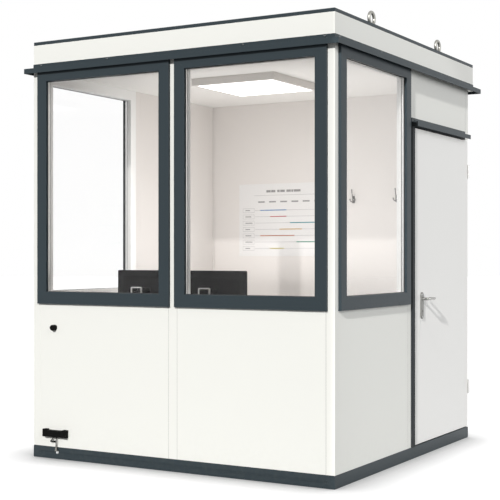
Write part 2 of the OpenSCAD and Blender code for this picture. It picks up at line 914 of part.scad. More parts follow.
module coat_hooks() {
    color("#5b5550")
        for (i = [0, 1])
            translate([hook_x + i * hook_pitch, rear_face - seam, hook_z]) coat_hook();
}

module worktop() {
    color("#e4e0d6")
        block([-desk_half, desk_front, desk_z - desk_t], [desk_half, desk_front + desk_d, desk_z]);
}

module worktop_legs() {
    color("#e4e0d6")
        for (x = [-1, 1])
            translate([x * (desk_half - leg_inset), desk_front + leg_inset, floor_z + seam])
                block([-leg_t / 2, 0, 0],
                      [leg_t / 2, desk_d - 2 * leg_inset, desk_h - desk_t - 2 * seam]);
}

module screens() {
    color("#202224")
        for (i = [0, 1])
            translate([screen_x + i * screen_pitch, screen_back, screen_top_z])
                block([-screen_w / 2, 0, -screen_h], [screen_w / 2, screen_t, 0]);
}

// Foot on the worktop, upright column and a short neck behind each screen
module screen_stands() {
    color("#b8b9b8")
        for (i = [0, 1])
            translate([screen_x + i * screen_pitch, screen_back - seam, 0]) {
                block([-stand_foot_w / 2, -stand_foot_d / 2, desk_z + seam],
                      [stand_foot_w / 2, stand_foot_d / 2, desk_z + seam + stand_foot_t]);
                block([-stand_w / 2, -stand_foot_d / 2, desk_z + seam],
                      [stand_w / 2, -stand_foot_d / 2 + stand_t, screen_top_z - stand_drop]);
                block([-stand_w / 2, -stand_foot_d / 2, screen_top_z - stand_drop - stand_w],
                      [stand_w / 2, 0, screen_top_z - stand_drop]);
            }
}

base_frame();
floor_joists();
floor_panel();
corner_posts();
front_mid_post();
left_mid_post();
rear_mid_post();
door_post();
front_lower_panels();
right_lower_panel();
left_lower_panel();
left_wall_panel();
rear_wall_panels();
door_header_panel();
front_window_frames();
right_window_frame();
left_window_frame();
window_panes();
window_inner_frames();
roof_frame();
roof_panel();
roof_skin();
roof_trim();
drip_rail();
lifting_eyes();
door_frame();
door_threshold();
door_hood();
door_leaf();
hinge_brackets();
hinge_knuckles();
handle_plates();
lever_handle();
lock_cylinder();
cable_gland();
bonding_box();
earth_lead();
earth_lug();
light_housing();
light_diffuser();
wall_planner();
coat_hooks();
worktop();
worktop_legs();
screens();
screen_stands();
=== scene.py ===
import math

import bmesh
import bpy
from mathutils import Matrix, Vector


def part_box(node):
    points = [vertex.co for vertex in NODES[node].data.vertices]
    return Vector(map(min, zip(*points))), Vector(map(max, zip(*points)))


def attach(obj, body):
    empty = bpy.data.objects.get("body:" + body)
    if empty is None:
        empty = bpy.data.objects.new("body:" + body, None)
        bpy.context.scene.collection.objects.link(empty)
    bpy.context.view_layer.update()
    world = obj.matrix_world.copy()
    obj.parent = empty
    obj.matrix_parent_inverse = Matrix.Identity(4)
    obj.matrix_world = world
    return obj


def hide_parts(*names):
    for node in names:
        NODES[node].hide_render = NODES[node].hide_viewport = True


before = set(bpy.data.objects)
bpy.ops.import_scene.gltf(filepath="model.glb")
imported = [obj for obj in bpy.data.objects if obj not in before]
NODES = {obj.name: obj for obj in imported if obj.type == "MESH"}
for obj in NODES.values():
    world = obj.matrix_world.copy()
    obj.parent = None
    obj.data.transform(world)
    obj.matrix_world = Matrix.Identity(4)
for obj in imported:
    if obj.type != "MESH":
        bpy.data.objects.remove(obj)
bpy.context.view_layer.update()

bl_info = {
    "name": "Office Container",
    "version": (1, 0, 0),
    "blender": (4, 5, 0),
    "location": "View3D > Sidebar > Container",
    "description": "Dresses the solid model of a small office container with its finishes and details",
    "category": "Object",
}


def low_high(node):
    """Lowest and highest corner of a solid node."""
    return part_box(node)


# ---- Places that come from the solid model, in metres ----

# Hairline between two pieces that lie against each other
HAIR = 0.0002
HALF_W, HALF_D = low_high("corner_posts")[1].xy
BASE_TOP = low_high("base_frame")[1].z
ROOF_Z = low_high("roof_frame")[0].z
MID_LOW, MID_HIGH = low_high("front_mid_post")
POST_W = low_high("front_lower_panels")[0].x + HALF_W
REAR_LOW, REAR_HIGH = low_high("rear_wall_panels")
WALL_T = REAR_HIGH.y - REAR_LOW.y
DOOR_LOW, DOOR_HIGH = low_high("door_leaf")

# Depths of the glazing behind the wall's face: outer pane, spacer and inner pane
PANE_FRONT = low_high("window_panes")[0].y + HALF_D - HAIR
SPACER_FRONT = PANE_FRONT + 0.0042
SPACER_BACK = PANE_FRONT + 0.0158
UNIT_BACK = PANE_FRONT + 0.020
# Window frame: how far it stands proud, the widths of its bars, and its lap over the opening
FRAME_PROUD = 0.018
SIDE_BAR = 0.070
LOWER_BAR = 0.074
UPPER_BAR = 0.078
FRAME_LAP = 0.0112
# Outer face of the drip rail's and the door hood's sheet, before the face that carries it
SHEET_FACE = 0.0022


# ---- Values a user would change ----

def colour_value(label, text, value):
    return bpy.props.FloatVectorProperty(name=label, description=text, subtype="COLOR",
                                         default=value, min=0, max=1)


def length_value(label, text, value, low, high):
    return bpy.props.FloatProperty(name=label, description=text, subtype="DISTANCE",
                                   unit="LENGTH", default=value, min=low, max=high)


def number_value(label, text, value, high, low=0, **kind):
    return bpy.props.FloatProperty(name=label, description=text, default=value, min=low,
                                   max=high, **kind)


class CabinFinishes(bpy.types.PropertyGroup):
    """Colours of the container's finishes"""
    frame_grey: colour_value("Frame Grey", "Powder coat of frames, rails and base",
                             (0.030, 0.043, 0.051))
    panel_white: colour_value("Panel White", "Coated sheet of posts, panels and roof edge",
                              (0.87, 0.878, 0.842))
    door_white: colour_value("Door White", "Coated sheet of the door leaf", (0.93, 0.93, 0.915))
    lining: colour_value("Room Lining", "Coating of the walls on the room side",
                         (0.775, 0.738, 0.710))
    ceiling: colour_value("Ceiling", "Coating of the ceiling", (0.85, 0.83, 0.80))
    bead_white: colour_value("Bead White", "Window beads on the room side", (0.86, 0.855, 0.84))
    roof_grey: colour_value("Roof Grey", "Coated sheet of the roof skin", (0.26, 0.28, 0.29))
    floor_tone: colour_value("Floor Covering", "Flecked covering of the floor",
                             (0.25, 0.255, 0.25))
    worktop: colour_value("Worktop", "Laminate of the worktop", (0.72, 0.68, 0.62))


class CabinDetails(bpy.types.PropertyGroup):
    """Sizes of the details that dress the container"""
    mitre_gap: length_value("Mitre Gap", "Half the joint between two mitred bars",
                            0.0002, 0, 0.001)
    gasket: length_value("Gasket Width", "Visible width of the rubber round the panes",
                         0.0026, 0.001, 0.008)
    seal_width: length_value("Joint Seal Width", "Width of the seal between post and panel",
                             0.0022, 0.001, 0.006)
    screw_radius: length_value("Screw Radius", "Radius of the screw heads on rails and trims",
                               0.0062, 0.002, 0.01)
    screw_pitch: length_value("Screw Pitch", "Distance between two screws of a rail",
                              0.47, 0.1, 1.0)
    seam_pitch: length_value("Roof Seam Pitch", "Distance between two standing seams",
                             0.32, 0.1, 0.6)


class CabinStudio(bpy.types.PropertyGroup):
    """Light and camera of the studio"""
    sun: number_value("Key Light", "Strength of the directed light", 2.8, 10)
    sun_angle: number_value("Key Size", "Angle over which the directed light spreads",
                            math.radians(1.2), 1.5, subtype="ANGLE", unit="ROTATION")
    side_fill: number_value("Side Fill", "Strength of the broad light on the door side", 1.25, 10)
    bead_fill: number_value("Bead Fill", "Strength of the light on the window beads only", 1.5, 10)
    back_fill: number_value("Back Fill", "Strength of the light on the two sides turned away",
                            2.2, 10)
    side_key: number_value("Side Key", "Power of the strip light along the door side, in watts",
                           3.6, 50)
    dome: number_value("Dome", "Strength of the even light all round", 0.20, 5)
    panel_light: number_value("Ceiling Light", "Strength of the room's ceiling light", 3.0, 20)
    room_light: number_value("Room Light", "Power of the light over the room's floor, in watts",
                             3.5, 100)
    upper_light: number_value("Upper Light", "Power of the light at half height, in watts",
                              8.0, 100)
    window_light: number_value("Window Light", "Power of the light behind the front, in watts",
                               6.4, 100)
    focal: number_value("Focal Length", "Focal length of the camera in millimetres", 83.93, 300,
                        low=10)


def finishes():
    return bpy.context.scene.cabin_finishes


def details():
    return bpy.context.scene.cabin_details


def studio():
    return bpy.context.scene.cabin_studio


# ---- Nodes of any tree ----

def new_tree(name, kind, inputs, outputs):
    """Node group with its sockets, each as (name, type) or (name, type, default)."""
    tree = bpy.data.node_groups.new(name, kind)
    for in_out, sockets in (("INPUT", inputs), ("OUTPUT", outputs)):
        for label, socket_type, *default in sockets:
            socket = tree.interface.new_socket(name=label, in_out=in_out,
                                               socket_type="NodeSocket" + socket_type)
            if default:
                socket.default_value = default[0]
    return tree, tree.nodes.new("NodeGroupInput").outputs, tree.nodes.new("NodeGroupOutput")


def feed(tree, node, values):
    """Gives a node's inputs their values: another node's output or a plain value."""
    for key, value in values.items():
        if isinstance(value, bpy.types.NodeSocket):
            tree.links.new(value, node.inputs[key])
        else:
            node.inputs[key].default_value = value
    return node


def add_node(tree, kind, inputs=None, **settings):
    node = tree.nodes.new(kind)
    for key, value in settings.items():
        setattr(node, key, value)
    return feed(tree, node, inputs or {})


def math_node(tree, operation, first, second=0.0, clamp=False):
    return add_node(tree, "ShaderNodeMath", {0: first, 1: second}, operation=operation,
                    use_clamp=clamp).outputs[0]


def plus(tree, first, second, clamp=False):
    return math_node(tree, "ADD", first, second, clamp)


def minus(tree, first, second):
    return math_node(tree, "SUBTRACT", first, second)


def times(tree, first, second):
    return math_node(tree, "MULTIPLY", first, second)


def mix_colour(tree, factor, first, second, blend="MIX"):
    return add_node(tree, "ShaderNodeMix", {0: factor, 6: first, 7: second}, data_type="RGBA",
                    blend_type=blend).outputs[2]


def ramp(tree, value, low, high):
    """0 below low, 1 above high, smooth in between."""
    return add_node(tree, "ShaderNodeMapRange",
                    {"Value": value, "From Min": low, "From Max": high},
                    interpolation_type="SMOOTHSTEP").outputs["Result"]


def noise(tree, vector, scale, detail=2.0, roughness=0.5):
    return add_node(tree, "ShaderNodeTexNoise", {"Vector": vector, "Scale": scale,
                    "Detail": detail, "Roughness": roughness}).outputs["Fac"]


def place_vector(tree):
    return add_node(tree, "ShaderNodeTexCoord").outputs["Object"]


def vary(tree, colour, cloud, amount):
    """The colour, lighter and darker by an amount where the cloud is bright or dark."""
    tone = plus(tree, times(tree, minus(tree, cloud, 0.5), amount), 1.0)
    grey = add_node(tree, "ShaderNodeCombineColor", dict.fromkeys(("Red", "Green", "Blue"), tone))
    return mix_colour(tree, 1.0, colour, grey.outputs[0], "MULTIPLY")


def seen_rays(tree):
    """1 for the rays of an eye: direct, mirrored or through glass."""
    ray = add_node(tree, "ShaderNodeLightPath").outputs
    direct = math_node(tree, "MAXIMUM", ray["Is Camera Ray"], ray["Is Transmission Ray"])
    return math_node(tree, "MAXIMUM", direct, ray["Is Glossy Ray"])


# ---- Shader groups ----

def surface_group(name, values):
    """Group that turns a colour and some values into colour, roughness and height."""
    inputs = [("Color", "Color")]
    for label, value in values.items():
        inputs.append((label, "Vector" if isinstance(value, tuple) else "Float", value))
    return new_tree(name, "ShaderNodeTree", inputs,
                    (("Color", "Color"), ("Roughness", "Float"), ("Height", "Float")))


def build_coat_group():
    """Powder coat: a faint cloudiness, orange peel and a veil of dust low down."""
    group, given, out = surface_group("Coat Surface", {
        "Cloud": 0.03, "Peel Scale": 900.0, "Base Roughness": 0.4, "Dust": 0.1})
    place = place_vector(group)
    toned = vary(group, given["Color"], noise(group, place, 1.7, 4.0, 0.6), given["Cloud"])
    height = add_node(group, "ShaderNodeSeparateXYZ", {0: place}).outputs["Z"]
    low = minus(group, 1.0, ramp(group, height, 0.0, 0.32))
    speck = ramp(group, noise(group, place, 34.0, 6.0, 0.7), 0.36, 0.72)
    dust = times(group, times(group, low, speck), given["Dust"])
    rough = plus(group, times(group, minus(group, speck, 0.4), 0.05), given["Base Roughness"])
    feed(group, out, {
        "Color": mix_colour(group, dust, toned, (0.42, 0.39, 0.34, 1.0)),
        "Roughness": plus(group, rough, times(group, dust, 0.5), clamp=True),
        "Height": noise(group, place, given["Peel Scale"], 1.0)})
    return group


def build_room_side_group():
    """1 on faces that look into the room, 0 on the outside."""
    group, given, out = new_tree(
        "Room Side", "ShaderNodeTree",
        (("Half Width", "Float", 1.0), ("Half Depth", "Float", 1.0), ("Ceiling", "Float", 2.0)),
        (("Mask", "Float"),))
    part = add_node(group, "ShaderNodeSeparateXYZ", {0: place_vector(group)}).outputs
    across, along = (
        math_node(group, "LESS_THAN", math_node(group, "ABSOLUTE", part[axis]), given[limit])
        for axis, limit in (("X", "Half Width"), ("Y", "Half Depth")))
    under = math_node(group, "LESS_THAN", part["Z"], given["Ceiling"])
    feed(group, out, {"Mask": times(group, times(group, across, along), under)})
    return group


def build_drawn_group():
    """Metal with fine lines drawn along one direction, and small dull patches."""
    group, given, out = surface_group("Drawn Metal", {
        "Stretch": (1.0, 1.0, 1.0), "Line Scale": 300.0, "Patch Scale": 30.0,
        "Contrast": 0.15, "Base Roughness": 0.3})
    place = place_vector(group)
    drawn = add_node(group, "ShaderNodeVectorMath", {0: place, 1: given["Stretch"]},
                     operation="MULTIPLY").outputs[0]
    lines = noise(group, drawn, given["Line Scale"], 3.0, 0.6)
    patch = noise(group, place, given["Patch Scale"], 4.0, 0.65)
    feed(group, out, {
        "Color": vary(group, given["Color"], patch, given["Contrast"]),
        "Roughness": plus(group, times(group, minus(group, lines, 0.5), 0.2),
                          given["Base Roughness"], clamp=True),
        "Height": lines})
    return group


def build_moulded_group():
    """Moulded plastic or rubber: a fine even grain with faint scuffs."""
    group, given, out = surface_group("Moulded Surface", {
        "Grain Scale": 1200.0, "Scuff": 0.1, "Base Roughness": 0.45})
    place = place_vector(group)
    scuff = times(group, ramp(group, noise(group, place, 55.0, 5.0, 0.7), 0.5, 0.75),
                  given["Scuff"])
    feed(group, out, {
        "Color": mix_colour(group, scuff, given["Color"], (0.5, 0.49, 0.47, 1.0)),
        "Roughness": plus(group, scuff, given["Base Roughness"], clamp=True),
        "Height": noise(group, place, given["Grain Scale"], 2.0)})
    return group


# ---- Materials ----

MATERIALS = {}


def start_material(name, inputs=None):
    """Material kept under its name; returns its tree and its shader."""
    material = bpy.data.materials.new(name)
    material.use_nodes = True
    MATERIALS[name] = material
    tree = material.node_tree
    return tree, feed(tree, tree.nodes["Principled BSDF"], inputs or {})


def add_relief(tree, shader, height, strength, distance):
    """Bump of the surface; the distance is in metres."""
    relief = add_node(tree, "ShaderNodeBump",
                      {"Strength": strength, "Distance": distance, "Height": height})
    feed(tree, shader, {"Normal": relief.outputs["Normal"]})


def group_surface(tree, shader, name, values, bump, distance=0.0003):
    """Feeds the shader from a surface group."""
    surface = add_node(tree, "ShaderNodeGroup", node_tree=node_group(name))
    given = feed(tree, surface, values).outputs
    feed(tree, shader, {"Base Color": given["Color"], "Roughness": given["Roughness"]})
    add_relief(tree, shader, given["Height"], bump, distance)


def rgba(colour):
    return (*colour, 1.0)


def coat_material(name, colour, roughness, cloud=0.02, dust=0.1, bump=0.12, room_colour=None,
                  gloss=0.5):
    tree, shader = start_material(name, {"Specular IOR Level": gloss})
    colour = rgba(colour)
    if room_colour is not None:
        # Reach beyond the wall's inner face, so that the face itself counts as room side
        slack = 0.0006
        room = feed(tree, add_node(tree, "ShaderNodeGroup", node_tree=node_group("room")), {
            "Half Width": HALF_W - WALL_T + slack, "Half Depth": HALF_D - WALL_T + slack,
            "Ceiling": ROOF_Z})
        colour = mix_colour(tree, room.outputs["Mask"], colour, rgba(room_colour))
    group_surface(tree, shader, "coat", {"Color": colour, "Cloud": cloud, "Dust": dust,
                                         "Base Roughness": roughness}, bump, 0.0004)


def metal_material(name, colour, roughness, stretch=(1.0, 1.0, 1.0), contrast=0.15,
                   line_scale=300.0, patch_scale=30.0):
    tree, shader = start_material(name, {"Metallic": 1.0})
    group_surface(tree, shader, "drawn", {
        "Color": rgba(colour), "Stretch": stretch, "Line Scale": line_scale,
        "Patch Scale": patch_scale, "Contrast": contrast, "Base Roughness": roughness}, 0.2)


def moulded_material(name, colour, roughness, scuff=0.05, grain=1200.0, bump=0.15, gloss=0.5):
    tree, shader = start_material(name, {"Specular IOR Level": gloss})
    group_surface(tree, shader, "moulded", {"Color": rgba(colour), "Grain Scale": grain,
                                            "Scuff": scuff, "Base Roughness": roughness}, bump)


def glass_material(name):
    """Clear float glass that lets the studio's light through to the room."""
    tree, shader = start_material(name, {
        "Base Color": (1.0, 1.0, 1.0, 1.0), "Roughness": 0.0, "Transmission Weight": 1.0,
        "IOR": 1.15})
    clear = add_node(tree, "ShaderNodeBsdfTransparent", {"Color": (0.727, 0.727, 0.727, 1.0)})
    ray = add_node(tree, "ShaderNodeLightPath").outputs
    either = math_node(tree, "MAXIMUM", ray["Is Shadow Ray"], ray["Is Diffuse Ray"])
    mix = add_node(tree, "ShaderNodeMixShader",
                   {0: either, 1: shader.outputs[0], 2: clear.outputs[0]})
    feed(tree, tree.nodes["Material Output"], {"Surface": mix.outputs[0]})


def flecked_floor_material(name, colour):
    """Sheet floor covering with light and dark flecks."""
    tree, shader = start_material(name)
    place = place_vector(tree)
    cells = add_node(tree, "ShaderNodeTexVoronoi", {"Scale": 420.0, "Vector": place})
    fleck = ramp(tree, noise(tree, place, 260.0, 3.0, 0.6), 0.45, 0.62)
    dark = rgba(channel * 0.55 for channel in colour)
    base = mix_colour(tree, fleck, rgba(colour), dark)
    light = ramp(tree, cells.outputs["Distance"], 0.0, 0.28)
    base = mix_colour(tree, light, (0.62, 0.61, 0.58, 1.0), base)
    cloudy = noise(tree, place, 2.2, 4.0)
    feed(tree, shader, {
        "Base Color": mix_colour(tree, times(tree, cloudy, 0.16), base, (0.30, 0.28, 0.25, 1.0)),
        "Roughness": plus(tree, times(tree, cloudy, 0.2), 0.42)})
    add_relief(tree, shader, fleck, 0.15, 0.0004)


def light_panel_material(name, strength):
    """Diffuser of the ceiling light, with fine prisms."""
    tree, shader = start_material(name, {"Emission Strength": strength, "Roughness": 0.4})
    prisms = add_node(tree, "ShaderNodeTexVoronoi", {
        "Scale": 160.0, "Randomness": 0.0, "Vector": place_vector(tree)},
        feature="F1", distance="CHEBYCHEV").outputs["Distance"]
    glow = mix_colour(tree, ramp(tree, prisms, 0.0, 0.5), (1.0, 0.99, 0.97, 1.0),
                      (0.96, 0.95, 0.93, 1.0))
    feed(tree, shader, {"Base Color": glow, "Emission Color": glow})
    add_relief(tree, shader, prisms, 0.4, 0.001)


def paper_material(name, colour):
    """Matt paper with a faint fibre grain."""
    tree, shader = start_material(name)
    fibre = noise(tree, place_vector(tree), 700.0, 4.0, 0.7)
    feed(tree, shader, {
        "Base Color": mix_colour(tree, times(tree, fibre, 0.05), rgba(colour),
                                 (0.6, 0.58, 0.54, 1.0)),
        "Roughness": plus(tree, times(tree, fibre, 0.1), 0.55)})
    add_relief(tree, shader, fibre, 0.1, 0.0002)


def build_materials():
    tone = finishes()
    coat_material("frame_coat", tone.frame_grey, 0.38, cloud=0.04, dust=0.03, bump=0.18, gloss=0.2)
    coat_material("jamb_coat", (0.020, 0.024, 0.027), 0.55, cloud=0.05, dust=0.06, bump=0.2,
                  gloss=0.12)
    coat_material("panel_coat", tone.panel_white, 0.40, cloud=0.012, dust=0.05, bump=0.08,
                  room_colour=tone.lining, gloss=0.3)
    coat_material("door_coat", tone.door_white, 0.38, cloud=0.015, dust=0.04, bump=0.08)
    coat_material("ceiling_coat", tone.ceiling, 0.5, dust=0.0, bump=0.08)
    coat_material("bead_coat", tone.bead_white, 0.35, cloud=0.01, dust=0.0, bump=0.05)
    coat_material("roof_coat", tone.roof_grey, 0.45, cloud=0.12, dust=0.0, bump=0.2)
    coat_material("lamp_coat", (0.74, 0.71, 0.68), 0.45, dust=0.0, bump=0.06)
    flecked_floor_material("floor_cover", tone.floor_tone)
    glass_material("window_glass")
    light_panel_material("lamp_glow", studio().panel_light)
    metal_material("galvanised", (0.33, 0.325, 0.30), 0.34, contrast=0.35, patch_scale=60.0,
                   line_scale=180.0)
    metal_material("spacer_metal", (0.82, 0.82, 0.81), 0.35, contrast=0.05)
    metal_material("threshold_metal", (0.70, 0.70, 0.69), 0.32, stretch=(1.0, 0.03, 1.0))
    metal_material("hinge_metal", (0.66, 0.66, 0.65), 0.30, stretch=(1.0, 1.0, 0.05))
    metal_material("handle_metal", (0.38, 0.38, 0.365), 0.22, stretch=(1.0, 0.06, 1.0),
                   contrast=0.08)
    metal_material("plate_metal", (0.23, 0.23, 0.22), 0.33, stretch=(1.0, 1.0, 0.04),
                   contrast=0.06)
    metal_material("screw_metal", (0.74, 0.75, 0.76), 0.25, contrast=0.12)
    metal_material("coated_screw", (0.13, 0.14, 0.145), 0.36, contrast=0.12)
    metal_material("hook_metal", (0.16, 0.15, 0.14), 0.35)
    metal_material("stand_metal", (0.74, 0.74, 0.72), 0.30, contrast=0.06)
    # Black rubber of the door seal; the same black also paints the shade in the key slots and the screen
    # vents
    moulded_material("rubber", (0.012, 0.012, 0.013), 0.55, scuff=0.03, grain=900.0, gloss=0.2)
    moulded_material("glazing_rubber", (0.028, 0.031, 0.033), 0.6, scuff=0.02, grain=900.0,
                     gloss=0.2)
    moulded_material("bead_seal", (0.56, 0.56, 0.55), 0.6, scuff=0.02)
    moulded_material("black_plastic", (0.004, 0.004, 0.004), 0.48, scuff=0.01, gloss=0.05)
    moulded_material("screen_plastic", (0.020, 0.020, 0.021), 0.45, scuff=0.01, gloss=0.15)
    moulded_material("screen_face", (0.006, 0.006, 0.007), 0.12, scuff=0.01, grain=2500.0,
                     bump=0.02)
    moulded_material("lead_sheath", (0.010, 0.010, 0.010), 0.45, scuff=0.02, gloss=0.15)
    # Grey of the joint seals, which also paints the shade line of each joint
    moulded_material("joint_seal", (0.34, 0.34, 0.325), 0.6, scuff=0.06)
    moulded_material("laminate", tone.worktop, 0.42, scuff=0.04, grain=500.0, bump=0.1)
    moulded_material("skirting", (0.48, 0.45, 0.42), 0.5, scuff=0.06)
    for name, colour in PAPERS.items():
        paper_material(name, colour)


# Paper and printing inks of the wall planner
PAPERS = {
    "paper": (0.80, 0.785, 0.775), "ink_grey": (0.30, 0.29, 0.29), "ink_line": (0.47, 0.46, 0.46),
    "ink_blue": (0.10, 0.28, 0.62), "ink_red": (0.66, 0.12, 0.14), "ink_teal": (0.04, 0.38, 0.46),
    "ink_amber": (0.78, 0.46, 0.08), "ink_rust": (0.70, 0.22, 0.10),
    "ink_green": (0.05, 0.36, 0.24), "ink_yellow": (0.72, 0.62, 0.12),
}

# Finish of each solid node that keeps its own shape
SOLID_FINISHES = {
    "frame_coat": ("base_frame", "floor_joists", "roof_trim", "drip_rail", "door_hood"),
    "jamb_coat": ("door_frame",),
    "panel_coat": ("corner_posts", "front_mid_post", "left_mid_post", "rear_mid_post", "door_post",
                   "front_lower_panels", "right_lower_panel", "left_lower_panel", "left_wall_panel",
                   "rear_wall_panels", "door_header_panel", "roof_frame"),
    "door_coat": ("door_leaf",),
    "ceiling_coat": ("roof_panel",),
    "roof_coat": ("roof_skin",),
    "floor_cover": ("floor_panel",),
    "window_glass": ("window_panes",),
    "lamp_coat": ("light_housing",),
    "lamp_glow": ("light_diffuser",),
    "threshold_metal": ("door_threshold",),
    "hinge_metal": ("hinge_brackets", "hinge_knuckles"),
    "lead_sheath": ("earth_lead",),
    "paper": ("wall_planner",),
    "laminate": ("worktop", "worktop_legs"),
}

# Rounding of the edges of those nodes, in metres
SOFT_EDGES = {
    0.0020: ("base_frame", "worktop", "worktop_legs"),
    0.0016: ("door_leaf",),
    0.0015: ("roof_trim", "light_housing"),
    0.0012: ("roof_frame", "corner_posts"),
    0.0010: ("front_mid_post", "left_mid_post", "rear_mid_post", "door_post", "door_threshold"),
    0.0008: ("front_lower_panels", "right_lower_panel", "left_lower_panel", "left_wall_panel",
             "rear_wall_panels", "door_header_panel", "door_frame"),
    0.0005: ("drip_rail", "door_hood"),
}


# ---- Geometry Nodes ----

def geometry_group(name, *inputs):
    """Geometry tree with its inputs, and the finish of its result."""
    return new_tree(name, "GeometryNodeTree",
                    (("Geometry", "Geometry"), *inputs, ("Finish", "Material")),
                    (("Geometry", "Geometry"),))


def close_tree(tree, given, out, geometry):
    """Realize Instances and Set Material, and then the output."""
    real = add_node(tree, "GeometryNodeRealizeInstances", {"Geometry": geometry})
    finish = add_node(tree, "GeometryNodeSetMaterial", {
        "Geometry": real.outputs["Geometry"], "Material": given["Finish"]})
    feed(tree, out, {"Geometry": finish.outputs["Geometry"]})
    return tree


def named_vector(tree, name):
    return add_node(tree, "GeometryNodeInputNamedAttribute", {"Name": name},
                    data_type="FLOAT_VECTOR").outputs["Attribute"]


def build_fastener_tree():
    """A head on every point, turned so that its axis follows the point's facing."""
    tree, given, out = geometry_group("Fasteners", ("Head", "Object"),
                                      ("Head Radius", "Float", 0.006))
    head = add_node(tree, "GeometryNodeObjectInfo", {"As Instance": True, "Object": given["Head"]})
    turn = add_node(tree, "FunctionNodeAlignRotationToVector",
                    {"Vector": named_vector(tree, "facing")}, axis="Z")
    spread = add_node(tree, "GeometryNodeInstanceOnPoints", {
        "Points": given["Geometry"], "Instance": head.outputs["Geometry"],
        "Rotation": turn.outputs["Rotation"], "Scale": given["Head Radius"]})
    return close_tree(tree, given, out, spread.outputs["Instances"])


def build_bar_tree():
    """A straight bar on every point, as long, wide and high as the point's size."""
    tree, given, out = geometry_group("Bars")
    bar = add_node(tree, "GeometryNodeMeshCube")
    spread = add_node(tree, "GeometryNodeInstanceOnPoints", {
        "Points": given["Geometry"], "Instance": bar.outputs["Mesh"],
        "Scale": named_vector(tree, "size")})
    return close_tree(tree, given, out, spread.outputs["Instances"])


def build_bead_tree():
    """A round bead along every run of edges."""
    tree, given, out = geometry_group("Bead", ("Bead Radius", "Float", 0.001),
                                      ("Sides", "Int", 8))
    run = add_node(tree, "GeometryNodeMeshToCurve", {"Mesh": given["Geometry"]})
    section = add_node(tree, "GeometryNodeCurvePrimitiveCircle",
                       {"Radius": given["Bead Radius"], "Resolution": given["Sides"]})
    sweep = add_node(tree, "GeometryNodeCurveToMesh", {
        "Curve": run.outputs["Curve"], "Profile Curve": section.outputs["Curve"],
        "Fill Caps": True})
    return close_tree(tree, given, out, sweep.outputs["Mesh"])


NODE_GROUPS = {}


def node_group(name):
    """A shader group or geometry tree, built the first time it is asked for."""
    makers = {"coat": build_coat_group, "room": build_room_side_group,
              "drawn": build_drawn_group, "moulded": build_moulded_group,
              "fasteners": build_fastener_tree, "bars": build_bar_tree, "bead": build_bead_tree}
    if name not in NODE_GROUPS:
        NODE_GROUPS[name] = makers[name]()
    return NODE_GROUPS[name]


# ---- Pieces ----

def add_object(name, data):
    """New object in the scene."""
    item = bpy.data.objects.new(name, data)
    bpy.context.scene.collection.objects.link(item)
    return item


def plain_mesh(name, bm):
    """Mesh from a bmesh, which is freed."""
    mesh = bpy.data.meshes.new(name)
    bm.to_mesh(mesh)
    bm.free()
    return mesh


def shade(mesh, finish, angle=38.0):
    """One finish and smooth shading, with sharp edges above an angle in degrees."""
    mesh.materials.clear()
    mesh.materials.append(MATERIALS[finish])
    mesh.polygons.foreach_set("material_index", [0] * len(mesh.polygons))
    mesh.polygons.foreach_set("use_smooth", [True] * len(mesh.polygons))
    mesh.set_sharp_from_angle(angle=math.radians(angle))


def seat(piece, body):
    """The piece rides on its body."""
    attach(piece, body)
    return piece


def new_piece(name, bm, finish, body="cabin", stands_for=(), round_angle=38.0):
    """A finished piece from a bmesh: merged, turned outwards, shaded and seated."""
    bmesh.ops.remove_doubles(bm, verts=bm.verts, dist=1e-6)
    bmesh.ops.recalc_face_normals(bm, faces=bm.faces)
    mesh = plain_mesh(name, bm)
    shade(mesh, finish, round_angle)
    piece = add_object(name, mesh)
    even = piece.modifiers.new("Even Shading", "WEIGHTED_NORMAL")
    even.keep_sharp = True
    seat(piece, body)
    if stands_for:
        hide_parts(*stands_for)
    return piece


def grow(name, tree_name, points, finish, inputs=None, attribute=None, edges=(), body="cabin",
         soften=0.0):
    """Runs a geometry tree on points or edges and keeps the result as a plain mesh."""
    seed = bpy.data.meshes.new(name + "_seed")
    seed.from_pydata([tuple(p) for p in points], edges, [])
    if attribute:
        label, values = attribute
        layer = seed.attributes.new(name=label, type="FLOAT_VECTOR", domain="POINT")
        layer.data.foreach_set("vector", [c for value in values for c in value])
    piece = add_object(name, seed)
    modifier = piece.modifiers.new("Nodes", "NODES")
    modifier.node_group = node_group(tree_name)
    given = dict(inputs or {}, Finish=MATERIALS[finish])
    for item in modifier.node_group.interface.items_tree:
        if item.in_out == "INPUT" and item.name in given:
            modifier[item.identifier] = given[item.name]
    graph = bpy.context.evaluated_depsgraph_get()
    mesh = bpy.data.meshes.new_from_object(piece.evaluated_get(graph), depsgraph=graph)
    piece.modifiers.remove(modifier)
    mesh.name = name
    piece.data = mesh
    bpy.data.meshes.remove(seed)
    if not mesh.polygons:
        raise RuntimeError(name + " came out empty")
    if attribute and label in mesh.attributes:
        mesh.attributes.remove(mesh.attributes[label])
    if soften:
        bm = bmesh.new()
        bm.from_mesh(mesh)
        bmesh.ops.bevel(bm, geom=[*bm.edges, *bm.verts], offset=soften, segments=1,
                        affect="EDGES")
        bm.to_mesh(mesh)
        bm.free()
    shade(mesh, finish)
    return seat(piece, body)


# ---- Outlines and mesh helpers ----

def circle(radius, sides):
    """Corners of a round outline."""
    return [(radius * math.cos(2 * math.pi * k / sides), radius * math.sin(2 * math.pi * k / sides))
            for k in range(sides)]


def arc(centre, start, end, steps):
    """Points of a quarter turn about the centre, from one arm to the other."""
    return [Vector(centre) + Vector(start) * math.cos(a) + Vector(end) * math.sin(a)
            for a in (math.pi / 2 * i / steps for i in range(steps + 1))]


def arc_outline(centres, radius, steps):
    """Closed outline of equal arcs about its centres, joined by straight lines."""
    sweep = 2 * math.pi / len(centres)
    points = []
    for k, (x, y) in enumerate(centres):
        for a in (sweep * (k + i / steps) for i in range(steps + 1)):
            points.append((x + radius * math.cos(a), y + radius * math.sin(a)))
    return points


